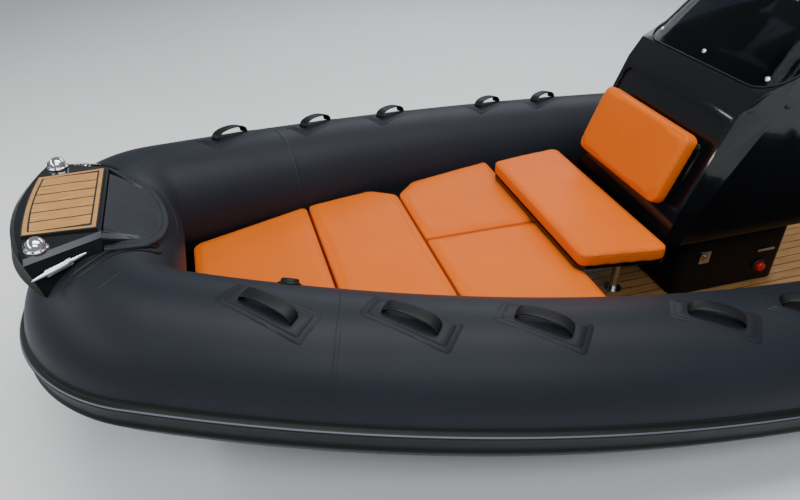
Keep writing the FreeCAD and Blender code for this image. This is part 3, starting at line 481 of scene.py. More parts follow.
def merged_copy(node, dissolve):
    """The node's mesh with its points merged and its flat faces joined."""
    work = bmesh.new()
    work.from_mesh(nodes[node].data)
    bmesh.ops.remove_doubles(work, verts=work.verts, dist=2e-5)
    if dissolve:
        bmesh.ops.dissolve_limit(work, angle_limit=math.radians(dissolve), verts=work.verts, edges=work.edges)
    return mesh_of(work)


def apply_modifiers(made):
    graph = bpy.context.evaluated_depsgraph_get()
    mesh = bpy.data.meshes.new_from_object(made.evaluated_get(graph))
    old = made.data
    made.modifiers.clear()
    made.data = mesh
    bpy.data.meshes.remove(old)


def moulded(node, material, radius=0.006, segments=3, angle=28, dissolve=1.5):
    """The node's shape with its hard edges rounded, as a moulding has them."""
    made = dressed(node, merged_copy(node, dissolve), material)
    bevel = made.modifiers.new("edges", "BEVEL")
    bevel.width = radius
    bevel.segments = segments
    bevel.limit_method = "ANGLE"
    bevel.angle_limit = math.radians(angle)
    bevel.use_clamp_overlap = True
    bevel.harden_normals = True
    apply_modifiers(made)
    return made


def by_angle(made, degrees):
    """Smooth shading that keeps the hard edges."""
    work = bmesh.new()
    work.from_mesh(made.data)
    for edge in work.edges:
        edge.smooth = len(edge.link_faces) == 2 and edge.calc_face_angle(0) < math.radians(degrees)
    work.to_mesh(made.data)
    work.free()


# Buoyancy tubes
TUBE_AROUND = 112
SIDE_STEPS = 60
TUBE_EDGE = 50          # degrees over which an edge of the skin stays hard


def tube_mesh(stations):
    rows = [[on_tube(s, 360.0 * k / TUBE_AROUND, TUBE_R) for k in range(TUBE_AROUND)] for s in stations]
    return grid_mesh(rows, closed=True, caps=True)


bow_tube = piece("bow_tube_skin", tube_mesh(bow_path()), TUBE_FABRIC, stands_for=("tube_bow",))
by_angle(bow_tube, TUBE_EDGE)
for side in ("port", "starboard"):
    for part, start, end in (("mid", SEAM_1, SEAM_2), ("aft", 0.0, SEAM_1)):
        skin = tube_mesh(run_of(start, end, SIDE_STEPS))
        if side == "starboard":
            skin = mirrored(skin)
        node = "tube_%s_%s" % (side, part)
        by_angle(piece(node + "_skin", skin, TUBE_FABRIC, stands_for=(node,)), TUBE_EDGE)

CONE_OUTLINE = [(0.27, 0.0), (0.2605, 0.05), (0.246, 0.1), (0.229, 0.15), (0.207, 0.2), (0.18, 0.25),
                (0.148, 0.295), (0.122, 0.318), (0.092, 0.335), (0.058, 0.346), (0.0, 0.35)]
cone = turned(CONE_OUTLINE, 96, (0, TUBE_Y, TUBE_Z), (-1, 0, 0))
piece("tube_cones_skin", both(cone), TUBE_FABRIC, stands_for=("tube_cones",))

# Tapes over the seams and at the aft end
TAPE_END = 178          # degrees from the top to where a tape ends below
TAPE_STEPS = 120
TAPE_HALF = 0.008
TAPE_EDGE = 0.0004


def tape_mesh(spots, lift):
    """Strip of fabric round a tube between the first and last spot; its edges run down to the skin."""
    rows = []
    for x, share in zip(spots, (0.15, 1.0, 1.0, 0.15)):
        rows.append([on_tube(side_station(x), -TAPE_END + 2 * TAPE_END * k / TAPE_STEPS,
                             TUBE_R + lift * (share if 0 < k < TAPE_STEPS else 0.1))
                     for k in range(TAPE_STEPS + 1)])
    return grid_mesh(rows)


tapes = [tape_mesh([seam + d for d in (-TAPE_HALF, TAPE_EDGE - TAPE_HALF, TAPE_HALF - TAPE_EDGE, TAPE_HALF)],
                   0.0003) for seam in (SEAM_1, SEAM_2)]
tapes.append(tape_mesh([0.0, 0.001, 0.06, 0.061], 0.0014))
piece("tube_seam_tapes", both(joined(tapes)), TUBE_FABRIC)

# Rubbing strake: two ridges with a groove, and a broad glued flange on each side.
# Each row holds degrees from its middle, height over the tube and material index.
STRAKE_ANGLE = 96
STRAKE_PROFILE = [(13.5, 0.0002, 0), (13.0, 0.0016, 0), (9.6, 0.002, 0), (9.35, 0.008, 0), (9.05, 0.0175, 1),
                  (8.3, 0.0215, 1), (7.2, 0.0228, 0), (6.2, 0.0215, 0), (5.2, 0.017, 0), (4.2, 0.013, 0),
                  (2.6, 0.0115, 0), (0.9, 0.0115, 0)]
strake_spots = [(STRAKE_ANGLE - a, rise, tag) for a, rise, tag in STRAKE_PROFILE]
strake_spots += [(STRAKE_ANGLE + a, rise, tag) for a, rise, tag in reversed(STRAKE_PROFILE)]
strake_side = run_of(0.0, SEAM_2, 130)
strake_path = strake_side + bow_path()[1:-1] + other_side(strake_side)
strake_rows = [[on_tube(s, a, TUBE_R + rise) for a, rise, _ in strake_spots] for s in strake_path]
# Faces tagged 1, on the ridge crowns, take the lighter grey of a painted highlight
strake_tags = [min(a[2], b[2]) for a, b in zip(strake_spots, strake_spots[1:])] + [0]
dressed("rub_strake", grid_mesh(strake_rows, closed=True, caps=True, tags=strake_tags),
        [RUBBER, RUBBER_PAINTED_HIGHLIGHT])

# Grab handles on their patches, slanted with the aft end outboard
HANDLE_XS = (5.513, 5.085, 4.666, 4.065, 3.7, 2.65)
HANDLE_ANGLE = 8.0      # degrees from the tube's top
HANDLE_SLANT = 8.5
HANDLE_REACH = 0.082
SLANT = math.atan2(math.radians(HANDLE_SLANT) * TUBE_R, HANDLE_REACH)
STRAP_HALF = 0.025
STRAP_THICK = 0.0085
STRAP_RISE = 0.038
STRAP_FOOT = 0.003
STRAP_STEPS = 32
PATCHES = ((0.152, 0.062, 0.0012), (0.134, 0.046, 0.0019))      # half length, half width and height


def patch_point(x, along, across, lift):
    s = -along * cos(SLANT) + across * sin(SLANT)
    t = along * sin(SLANT) + across * cos(SLANT)
    return on_tube(side_station(x + s), HANDLE_ANGLE + math.degrees(t / TUBE_R), TUBE_R + lift)


def patch_mesh(x, half_long, half_wide, lift):
    """Rounded rectangle on the tube whose rim runs down to the skin."""
    rows = []
    for share, height in ((1.0, 0.0003), (0.992, lift), (0.8, lift), (0.5, lift), (0.02, lift)):
        rows.append([patch_point(x, swell(cos(turn), 0.14) * half_long * share,
                                 swell(sin(turn), 0.14) * half_wide * share, height)
                     for turn in turns(72)])
    return grid_mesh(rows, closed=True)


def handle_mesh(x):
    """Wide flat strap that stands up from the tube in an arch."""
    front = on_tube(side_station(x + HANDLE_REACH), HANDLE_ANGLE - HANDLE_SLANT, TUBE_R + 0.0006)
    rear = on_tube(side_station(x - HANDLE_REACH), HANDLE_ANGLE + HANDLE_SLANT, TUBE_R + 0.0006)
    middle = (front + rear) / 2
    along = rear - front
    half = along.length / 2
    along.normalize()
    outward = on_tube(side_station(x), HANDLE_ANGLE, 1.0) - on_tube(side_station(x), HANDLE_ANGLE, 0.0)
    across = along.cross(outward).normalized()
    up = across.cross(along)
    path = []
    for i in range(STRAP_STEPS + 1):
        turn = pi * i / STRAP_STEPS
        path.append((-half * swell(cos(turn), 0.9),
                     STRAP_FOOT + STRAP_RISE * abs(sin(turn)) ** 0.8))
    rows = []
    for i, (a, h) in enumerate(path):
        before, after = path[max(0, i - 1)], path[min(STRAP_STEPS, i + 1)]
        lean = math.atan2(after[1] - before[1], after[0] - before[0])
        wide = STRAP_HALF * (0.9 + 0.1 * sin(pi * i / STRAP_STEPS))
        row = []
        for turn in turns(20):
            thick = swell(sin(turn), 0.75) * STRAP_THICK / 2
            row.append(middle + along * (a - sin(lean) * thick) + up * (h + cos(lean) * thick)
                       + across * (swell(cos(turn), 0.45) * wide))
        rows.append(row)
    return grid_mesh(rows, closed=True, caps=True)


handle_set = joined([handle_mesh(x) for x in HANDLE_XS])
dressed("grab_handles_starboard", mirrored(handle_set), RUBBER)
dressed("grab_handles_port", handle_set, RUBBER)
patches = [patch_mesh(x, *patch) for x in HANDLE_XS for patch in PATCHES]
piece("handle_patches", both(joined(patches)), PATCH_FABRIC)

# Filling valves on the inboard side: place along the tube, degrees from its top, and whether on both sides
VALVES = ((5.48, -38.0, False), (3.15, -42.0, True), (0.55, -42.0, True))
VALVE_OUTLINE = [(0.0, 0.0), (0.042, 0.0), (0.042, 0.004), (0.033, 0.008), (0.031, 0.017), (0.027, 0.021),
                 (0.012, 0.022), (0.0, 0.0225)]
valves = []
for x, angle, on_both in VALVES:
    foot = on_tube(side_station(x), angle, TUBE_R - 0.002)
    out = (on_tube(side_station(x), angle, 1.0) - foot).normalized()
    valve = turned(VALVE_OUTLINE, 40, foot, out)
    valves.append(both(valve) if on_both else valve)
piece("tube_valves", joined(valves), RUBBER)

# Bow: what lies on the tube follows its skin
bow_skin = tree_of(bow_tube.data)


def drop(x, y, lift):
    """Point on top of the bow tube under (x, y), raised along the skin's normal."""
    spot, normal, _, _ = bow_skin.ray_cast(Vector((x, y, 2.0)), -UP)
    if normal.z < 0:
        normal = -normal
    return spot + normal * lift


def curve_through(points, steps=8):
    """Smooth line through the points."""
    made = []
    for i in range(len(points) - 1):
        p0, p1, p2, p3 = (points[max(0, min(len(points) - 1, i + d))] for d in (-1, 0, 1, 2))
        for k in range(steps):
            t = k / steps
            made.append(0.5 * (2 * p1 + (p2 - p0) * t + (2 * p0 - 5 * p1 + 4 * p2 - p3) * t * t
                               + (3 * p1 - p0 - 3 * p2 + p3) * t ** 3))
    return made + [points[-1]]


def on_skin(flat, lift, radius, squash):
    """Bead that follows the bow tube's top under a line drawn in plan, with its ends sunk in."""
    line = curve_through([Vector((x, y, 0.0)) for x, y in flat])
    last = len(line) - 1
    sunk = [1.4 * radius * max(0.0, 1 - min(i, last - i) / 9) for i in range(last + 1)]
    return rope_mesh([drop(p.x, p.y, lift - low) for p, low in zip(line, sunk)], radius, 10, squash=squash)


# Tread pad: half an ellipse over the tube, with a ramp up to the moulding
PAD_X = 5.983
PAD_LONG = 0.186
PAD_HALF = 0.3
PAD_THICK = 0.007
RAMP_TOP = 0.897
RAMP_SLOPE = 0.7245
RAMP_HALF = 0.205
RAMP_FALL = 0.9         # slope of the ramp's sides
RAMP_BLEND = 0.012
PAD_STEPS = 120
PAD_RINGS = 41
PAD_RIM = [(1.0, 0.0003), (1.0, 0.009), (0.99, 0.0116), (0.975, 0.0122), (0.925, 0.012), (0.905, 0.011),
           (0.885, 0.0074)]


def pad_point(x, y, lift):
    """Point on the pad: over the tube, or on the ramp that meets the moulding."""
    spot = drop(x, y, lift)
    fall = RAMP_SLOPE * (PAD_X - x) + RAMP_FALL * max(0.0, abs(y) - RAMP_HALF)
    ramp = RAMP_TOP - fall + lift - PAD_THICK
    near = spot.z - ramp
    if near < -RAMP_BLEND:
        spot.z = ramp
    elif near < RAMP_BLEND:
        spot.z = ramp + (near + RAMP_BLEND) ** 2 / (4 * RAMP_BLEND)
    return spot


def pad_mesh():
    rows = []
    for share, lift in PAD_RIM + [(0.86 - 0.0215 * i, PAD_THICK) for i in range(PAD_RINGS)]:
        rows.append([pad_point(PAD_X - PAD_LONG * share * sin(pi * k / PAD_STEPS),
                               PAD_HALF * share * cos(pi * k / PAD_STEPS), lift)
                     for k in range(PAD_STEPS + 1)])
    return grid_mesh(rows)


# Horns of the moulding that run aft beside the pad: x, inner side, outer side and top,
# each at the root and with its change to the tip
HORN = ((5.987, -0.127), (0.238, -0.072), (0.268, -0.082), (0.9046, -0.093))
HORN_STEPS = 40
HORN_COLUMNS = 6


def horn_mesh():
    rows = []
    for i in range(HORN_STEPS + 1):
        t = i / HORN_STEPS
        x, inner, outer, top = (root + change * t for root, change in HORN)
        row = []
        for k in range(HORN_COLUMNS + 1):
            y = inner + (outer - inner) * k / HORN_COLUMNS
            over_pad = pad_point(x, y, 0.0082).z + 0.0016
            row.append(Vector((x, y, max(over_pad, top - 0.002 * k * (1 - t)))))
        inner_foot = row[0] - Vector((0, 0.003, 0.012))
        outer_foot = row[-1] + Vector((0, 0.004 * (1 - t), -0.01 - 0.03 * (1 - t)))
        rows.append([inner_foot] + row + [outer_foot])
    return grid_mesh(rows)


RIDGE = [(5.812, 0.12), (5.836, 0.19), (5.87, 0.216), (5.925, 0.252), (5.971, 0.293), (6.026, 0.352),
         (6.086, 0.394), (6.152, 0.42)]
OUTER_RIDGE = [(x - 0.012, y + 0.024) for x, y in RIDGE]
SEAM_LINE = [(5.77, 0.0), (5.772, 0.11), (5.782, 0.202), (5.819, 0.269), (5.86, 0.351), (5.913, 0.406),
             (5.974, 0.47), (6.038, 0.496)]
dressed("bow_tread_pad", pad_mesh(), LINER)
# The horns take the lighter gelcoat of the painted highlight
by_angle(piece("bow_horns", both(horn_mesh()), GELCOAT_PAINTED_HIGHLIGHT), 30)
ridges = [on_skin(RIDGE, 0.0004, 0.0085, 0.7), on_skin(OUTER_RIDGE, 0.0002, 0.008, 0.5)]
piece("bow_ridges", both(joined(ridges)), RUBBER)
piece("bow_seam", both(on_skin(SEAM_LINE, 0.0002, 0.0013, 0.6)), RUBBER_MATT)

# The moulding's sloping shoulders are rougher than its top and painted lighter, a painted highlight; its
# steep and low sides are painted darker, a painted shade
SHOULDER_Z = 0.88
SIDE_Z = 0.86
STEEP = 0.68            # upward parts of the faces' normals
FLAT = 0.985
NOSE_WING_X = 6.215
step_piece = moulded("bow_step", GELCOAT, 0.003, 3, 14)
step_piece.data.materials.append(GELCOAT_PAINTED_HIGHLIGHT)
step_piece.data.materials.append(GELCOAT_PAINTED_SHADE)
for face in step_piece.data.polygons:
    spot, normal = face.center, face.normal
    # Index 1 is the painted highlight on the shoulders, index 2 the painted shade on steep and low faces
    if spot.z > SHOULDER_Z and STEEP < normal.z < FLAT and spot.x < NOSE_WING_X and abs(normal.y) > 0.1:
        face.material_index = 1
    elif normal.z < STEEP or spot.z < SIDE_Z:
        face.material_index = 2

# Teak on the moulding: dark base, wide border and planks with caulked seams, in heights over its foot
teak_low, teak_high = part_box("bow_step_teak")
TEAK_Z = teak_low.z
TEAK_AFT_HALF = 0.228
TEAK_FRONT_HALF = 0.215
TEAK_SAG = 0.012        # how far its front edge curves forward
TEAK_INSET = 0.004
BORDER = 0.015
BORDER_EDGE = 0.0015
PLANK_FOOT = 0.005
PLANK_SHOULDER = 0.008
PLANK_TOP = 0.009
PLANK_COUNT = 6
PLANK_GAP = 0.0066
PLANKS_HALF = 0.222


def teak_outline(inset):
    """Outline of the teak in plan, a set distance inside its edge."""
    aft = teak_low.x + inset
    front = teak_high.x - TEAK_SAG - inset
    aft_half = TEAK_AFT_HALF - inset
    half = TEAK_FRONT_HALF - inset
    points = [(aft, -aft_half), (aft, aft_half)]
    for k in range(25):
        y = half * (1 - k / 12)
        points.append((front + TEAK_SAG * (1 - (y / half) ** 2), y))
    return points


def plate(points, low, high, bevel):
    """Flat plate with its top edge rounded."""
    work = bmesh.new()
    face = work.faces.new([work.verts.new((x, y, low)) for x, y in points])
    bmesh.ops.recalc_face_normals(work, faces=[face])
    made = bmesh.ops.extrude_face_region(work, geom=[face])
    raised = [v for v in made["geom"] if isinstance(v, bmesh.types.BMVert)]
    bmesh.ops.translate(work, vec=(0, 0, high - low), verts=raised)
    bmesh.ops.recalc_face_normals(work, faces=work.faces)
    top = [e for e in work.edges if all(abs(v.co.z - high) < 1e-6 for v in e.verts)]
    bmesh.ops.bevel(work, geom=top, offset=bevel, segments=2, affect="EDGES", profile=0.6)
    return mesh_of(work)


def plank_meshes():
    edge = TEAK_INSET + BORDER + 0.0055
    half = PLANKS_HALF - edge
    front_half = TEAK_FRONT_HALF - edge
    pitch = 2 * half / PLANK_COUNT
    aft = teak_low.x + edge
    made = []
    for i in range(PLANK_COUNT):
        y1 = -half + i * pitch + PLANK_GAP / 2
        y2 = y1 + pitch - PLANK_GAP
        points = [(aft, y1)]
        for y in (y1, (y1 + y2) / 2, y2):
            sag = TEAK_SAG * (1 - min(1.0, abs(y) / front_half) ** 2)
            points.append((teak_high.x - TEAK_SAG - edge + sag, y))
        points.append((aft, y2))
        made.append(plate(points, TEAK_Z + PLANK_FOOT, TEAK_Z + PLANK_TOP, 0.0008))
    return made


BORDER_PROFILE = ((0.0, PLANK_FOOT), (0.0, PLANK_SHOULDER), (BORDER_EDGE, PLANK_TOP),
                  (BORDER - BORDER_EDGE, PLANK_TOP), (BORDER, PLANK_SHOULDER), (BORDER, PLANK_FOOT))
rim = plate(teak_outline(0.0), TEAK_Z, TEAK_Z + 0.0084, 0.002)
border_rows = [[Vector((x, y, TEAK_Z + height)) for x, y in teak_outline(TEAK_INSET + inset)]
               for inset, height in BORDER_PROFILE]
border = grid_mesh(border_rows, closed=True)
dressed("bow_step_teak", joined([indexed(rim, 1), border] + plank_meshes()), [TEAK_PAD, CAULK], smooth=False)

# Lamps: fat chromed domes on a collar
lamp_low, lamp_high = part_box("nav_lights")
LAMP_X = (lamp_low.x + lamp_high.x) / 2
LAMP_Y = 0.3
LAMP_OUTLINE = [(0.0, 0.0), (0.038, 0.0), (0.038, 0.005), (0.0365, 0.0082), (0.0337, 0.0095), (0.0333, 0.013),
                (0.0318, 0.0195), (0.0288, 0.026), (0.0238, 0.0325), (0.0168, 0.038), (0.0085, 0.041),
                (0.0, 0.0418)]
dressed("nav_lights", both(turned(LAMP_OUTLINE, 64, (LAMP_X, LAMP_Y, lamp_low.z))), CHROME)
lens = block((0.006, 0.03, 0.013), (LAMP_X + 0.031, LAMP_Y, lamp_low.z + 0.0185), 0.0026)
piece("nav_light_lenses", both(lens), LENS)

# Folding cleats on the moulding's sloping wings
CLEAT_SPOT = Vector((6.1105, 0.3689, 0.8683))
CLEAT_ALONG = Vector((0.86814, 0.48358, -0.11176))
CLEAT_UP = Vector((-0.33453, 0.73645, 0.58799))
CLEAT_SUNK = 0.012
CLEAT_HALF = 0.0915
CLEAT_STEPS = 32        # from the middle to an end
BAR_HEIGHT = 0.0185
BAR_WIDE = 0.0078
BAR_THICK = 0.004
POST_OUTLINE = [(0.0, 0.002), (0.0085, 0.002), (0.0065, 0.008), (0.0065, 0.016), (0.0, 0.016)]


def cleat_mesh():
    """Slim folding cleat: a tapered bar on two posts over an oval plate."""
    rows = []
    for i in range(2 * CLEAT_STEPS + 1):
        a = -1 + i / CLEAT_STEPS
        end = 0.25 + 0.75 * math.sqrt(max(0.0, 1 - a ** 8))
        middle = 1 / (1 + math.exp((abs(a) - 0.36) * 34))
        wide = (BAR_WIDE * (1 - 0.42 * a * a) + 0.0024 * middle) * end
        thick = (BAR_THICK * (1 - 0.25 * a * a) + 0.0008 * middle) * end
        rows.append([Vector((CLEAT_HALF * a, cos(turn) * wide, BAR_HEIGHT + sin(turn) * thick))
                     for turn in turns(20)])
    pieces = [grid_mesh(rows, closed=True, caps=True),
              block((0.088, 0.024, 0.005), (0, 0, 0.0025), 0.0022)]
    pieces += [turned(POST_OUTLINE, 24, (x, 0, 0)) for x in (-0.026, 0.026)]
    mesh = joined(pieces)
    turn = Matrix((CLEAT_ALONG, CLEAT_UP.cross(CLEAT_ALONG), CLEAT_UP)).transposed().to_4x4()
    mesh.transform(Matrix.Translation(CLEAT_SPOT - CLEAT_UP * CLEAT_SUNK) @ turn)
    return mesh


by_angle(dressed("bow_cleats", both(cleat_mesh()), POLISHED), 50)
moulded("bow_tow_eye", STAINLESS, 0.002, 2, 40)
moulded("stern_eyes", STAINLESS, 0.002, 2, 40)

# Mouldings, and nodes that are kept with a better material
moulded("console", GELCOAT, 0.01, 4, 14, dissolve=0.8)
moulded("console_plinth", GELCOAT_SOFT, 0.01, 4, 14, dissolve=0.8)
for node in ("helm_base", "bench_base", "transom", "well_bulkhead", "seat_lid", "seat_pan", "dash_panel"):
    moulded(node, GELCOAT)
moulded("bench_lid", GELCOAT, 0.004)
moulded("windscreen", GLASS, 0.002, 2, 40)
for node, material in (("hull", GELCOAT), ("bow_base", GELCOAT_SOFT), ("deck_planking", TEAK_DECK_PAINTED_SHADE),
                       ("seat_legs", STAINLESS), ("engine_block", IRON)):
    mesh = nodes[node].data
    mesh.materials.clear()
    mesh.materials.append(material)
    shade_smooth(mesh)

# Windscreen: rubber bead along its foot, and screw caps where the photo shows them
SCREEN_Z = 1.1692
SCREEN_FRONT = 3.529
SCREEN_HALF = 0.407
SCREEN_BEND = 0.11
SCREEN_SLOPE = 0.47
BEND_STEPS = 12
CAP_TARGETS = ((3.499, 0.36, 1.21), (3.512, 0.0, 1.211), (3.49, -0.33, 1.215))
CAP_OUTLINE = [(0.0, 0.0), (0.0105, 0.0), (0.0105, 0.0016), (0.0085, 0.0042), (0.004, 0.0055), (0.0, 0.0057)]
foot_line = [(3.232, SCREEN_HALF), (3.33, SCREEN_HALF)]
for i in range(BEND_STEPS + 1):
    turn = pi / 2 * (1 - i / BEND_STEPS)
    foot_line.append((SCREEN_FRONT - SCREEN_BEND + SCREEN_BEND * cos(turn),
                      SCREEN_HALF - SCREEN_BEND + SCREEN_BEND * sin(turn)))
foot_line += [(x, -y) for x, y in reversed(foot_line)]
bead_line = [Vector((x, y, SCREEN_Z + SCREEN_SLOPE * (SCREEN_FRONT - x) + 0.001)) for x, y in foot_line]
piece("windscreen_bead", rope_mesh(bead_line, 0.004, 10), RUBBER)
screen = tree_of(nodes["windscreen"].data)
caps = []
for target in CAP_TARGETS:
    spot, normal, _, _ = screen.ray_cast(EYE, (Vector(target) - EYE).normalized())
    caps.append(turned(CAP_OUTLINE, 32, spot - normal * 0.0004, normal))
piece("windscreen_screws", joined(caps), CHROME)

# Latch, grab bar and battery switch on the console plinth's port side
PLINTH_Y = 0.3303
LATCH_X = 3.5075
GRAB_X = 3.1675
GRAB_Z = 0.344
GRAB_HALF = 0.0405
SWITCH = (3.173, PLINTH_Y, 0.25)
SWITCH_BASE = [(0.0, 0.0), (0.034, 0.0), (0.034, 0.005), (0.031, 0.008), (0.0, 0.008)]
SWITCH_KNOB = [(0.0, 0.008), (0.024, 0.008), (0.0235, 0.013), (0.021, 0.024), (0.019, 0.027), (0.0, 0.0275)]
latch = [block((0.055, 0.006, 0.064), (LATCH_X, PLINTH_Y + 0.003, 0.36), 0.0025),
         block((0.028, 0.01, 0.038), (LATCH_X, PLINTH_Y + 0.0087, 0.358), 0.004),
         block((0.095, 0.006, 0.012), (GRAB_X, PLINTH_Y + 0.0089, GRAB_Z), 0.0028)]
latch += [block((0.012, 0.01, 0.012), (x, PLINTH_Y + 0.0049, GRAB_Z), 0.002)
          for x in (GRAB_X - GRAB_HALF, GRAB_X + GRAB_HALF)]
dressed("plinth_latch", joined(latch), STAINLESS)
switch = [turned(SWITCH_BASE, 48, SWITCH, PORT), indexed(turned(SWITCH_KNOB, 48, SWITCH, PORT), 1),
          indexed(block((0.009, 0.012, 0.04), (SWITCH[0], PLINTH_Y + 0.0232, SWITCH[2]), 0.003), 1)]
dressed("battery_switch", joined(switch), [PLASTIC, RED], slot="red_plastic")

# Helm: everything on the panel is drawn with X up the panel, Y to port and Z out of it
PANEL_ANGLE = math.atan2(0.11, 0.26195)
panel_up = Vector((sin(PANEL_ANGLE), 0, cos(PANEL_ANGLE)))
panel_out = Vector((-cos(PANEL_ANGLE), 0, sin(PANEL_ANGLE)))
panel_foot = Vector((3.04 + 0.096 * math.tan(PANEL_ANGLE), 0, 1.18))
PANEL = Matrix.Translation(panel_foot) @ Matrix((panel_up, PORT, panel_out)).transposed().to_4x4()


def on_panel(meshes):
    mesh = joined(meshes)
    mesh.transform(PANEL)
    return mesh


GAUGE_X = 0.104
BEZEL_OUTLINE = [(0.0, 0.012), (0.041, 0.012), (0.041, 0.015), (0.0385, 0.0172), (0.035, 0.0165),
                 (0.0345, 0.014), (0.0, 0.014)]
DIAL_OUTLINE = [(0.0, 0.0138), (0.0342, 0.0138), (0.0342, 0.0146), (0.0, 0.0146)]
bezels = []
faces = []
for y in (-0.1, 0.0, 0.1):
    gauge = (GAUGE_X, y, 0)
    bezels.append(turned(BEZEL_OUTLINE, 48, gauge))
    faces.append(turned(DIAL_OUTLINE, 40, gauge))
    for degrees in range(-120, 121, 30):
        mark = block((0.0055, 0.0012, 0.0006), (0.028, 0, 0.0148), 0.0002)
        faces.append(indexed(spun(mark, degrees, gauge), 1))
    needle = block((0.024, 0.0016, 0.0008), (0.009, 0, 0.0152), 0.0003)
    faces.append(indexed(spun(needle, 100 - 300 * abs(y), gauge), 2))
piece("gauge_bezels", on_panel(bezels), CHROME)
piece("gauge_faces", on_panel(faces), [PLASTIC, DIAL, RED], slot="black_plastic")

DISPLAY_Y = 0.236
ROCKER_X = 0.108
fittings = [block((0.13, 0.19, 0.008), (0.035, DISPLAY_Y, 0.0155), 0.0035),
            indexed(block((0.104, 0.164, 0.0016), (0.038, DISPLAY_Y, 0.0198), 0.0006), 1)]
for i in range(4):
    y = -0.316 + 0.031 * i
    fittings.append(block((0.046, 0.025, 0.005), (ROCKER_X, y, 0.014), 0.0015))
    rocker = block((0.037, 0.018, 0.007), (0, 0, 0), 0.002)
    fittings.append(indexed(spun(rocker, 6, (ROCKER_X, y, 0.016), "Y"), 2))
piece("dash_fittings", on_panel(fittings), [PLASTIC, LENS, PLASTIC_GREY])

WHEEL_R = 0.175
RIM_Z = 0.135
SPOKE_Z = RIM_Z - 0.0105
HUB_OUTLINE = [(0.0, 0.063), (0.04, 0.063), (0.0395, 0.07), (0.036, 0.1), (0.033, 0.122), (0.026, 0.131),
               (0.0, 0.134)]
SHAFT_OUTLINE = [(0.0, 0.018), (0.012, 0.018), (0.012, 0.064), (0.0, 0.064)]
HUB_CAP_OUTLINE = [(0.0, 0.133), (0.019, 0.133), (0.018, 0.137), (0.0, 0.1385)]
rim_line = [Vector((WHEEL_R * cos(turn), WHEEL_R * sin(turn), RIM_Z)) for turn in turns(96)]
wheel = [rope_mesh(rim_line, 0.0138, 18, closed=True), turned(HUB_OUTLINE), turned(SHAFT_OUTLINE, 24)]
for degrees in (90, 210, 330):
    spoke = block((0.15, 0.024, 0.007), (0.09, 0, SPOKE_Z), 0.003)
    inlay = block((0.07, 0.01, 0.0074), (0.105, 0, SPOKE_Z), 0.0012)
    wheel += [indexed(spun(spoke, degrees), 1), spun(inlay, degrees)]
wheel.append(indexed(turned(HUB_CAP_OUTLINE, 40), 1))
dressed("steering_wheel", on_panel(wheel), [PLASTIC, STAINLESS])

THROTTLE_Y = -0.265
LEVER_Y = THROTTLE_Y + 0.055
AXLE_X = 0.01
AXLE_Z = 0.05
AXLE_OUTLINE = [(0.0, 0.0), (0.016, 0.0), (0.016, 0.028), (0.013, 0.031), (0.0, 0.031)]
GRIP_OUTLINE = [(0.0, 0.0), (0.0125, 0.0), (0.0158, 0.004), (0.0145, 0.04), (0.0158, 0.074), (0.0125, 0.0785),
                (0.0, 0.079)]
lever_line = [Vector((AXLE_X, LEVER_Y, AXLE_Z)), Vector((0.0496, LEVER_Y, 0.163))]
throttle = [block((0.11, 0.09, 0.056), (0.005, THROTTLE_Y, 0.041), 0.012, segments=4),
            indexed(turned(AXLE_OUTLINE, 32, (AXLE_X, THROTTLE_Y + 0.0445, AXLE_Z), PORT), 1),
            indexed(rope_mesh(lever_line, 0.008, 16), 1),
            turned(GRIP_OUTLINE, 32, (0.0535, THROTTLE_Y + 0.062, 0.166), -PORT)]
dressed("throttle", on_panel(throttle), [PLASTIC, CHROME])

# Engine: painted cowl with a rubber seam, a grey lower band and air slots
cowl = moulded("engine_cowl", PAINT, 0.006, 3, 30, dissolve=0)
by_angle(cowl, 40)
cowl_tree = tree_of(cowl.data)
COWL_X = -0.46
SLOT_ANGLE = 52         # degrees from the cowl's aft end to the middle of its air slots
BAND_PROFILE = ((0.452, 0.0), (0.453, 0.0018), (0.508, 0.0018), (0.509, 0.0))


def cowl_point(turn, height, lift):
    """Point on the cowl at an angle round its middle, raised from the paint."""
    way = Vector((cos(turn), sin(turn), 0))
    spot, normal, _, _ = cowl_tree.ray_cast(Vector((COWL_X, 0, height)) + way, -way)
    return spot + normal * lift


def cowl_ring(height, lift):
    return [cowl_point(2 * pi * (k + 0.5) / 144, height, lift) for k in range(144)]


band = grid_mesh([cowl_ring(height, lift) for height, lift in BAND_PROFILE], closed=True)
piece("cowl_band", band, PAINT_GREY, "engine")
seams = [rope_mesh(cowl_ring(0.56, 0.0002), 0.004, closed=True, squash=0.8)]
for side in (-1, 1):
    middle = math.radians(180 - side * SLOT_ANGLE)
    for i in range(5):
        line = [cowl_point(middle + side * math.radians(d), 0.8 + 0.026 * i + 0.0008 * d, 0.0003)
                for d in range(-9, 10, 2)]
        seams.append(rope_mesh(line, 0.0042, squash=0.8))
piece("cowl_seams", joined(seams), RUBBER, "engine")
catch = block((0.012, 0.07, 0.04), (cowl_point(pi, 0.6, 0).x - 0.003, 0, 0.6), 0.005)
piece("cowl_catch", catch, PLASTIC, "engine")

for node, paint, radius in (("outboard_leg", PAINT, 0.004), ("lower_unit", PAINT, 0.003),
                            ("clamp_bracket", PAINT_GREY, 0.004), ("swivel_bracket", PAINT_GREY, 0.004)):
    by_angle(moulded(node, paint, radius, 2, 35, dissolve=0), 35)
by_angle(moulded("propeller", ALLOY, 0.0012, 2, 45, dissolve=0), 40)

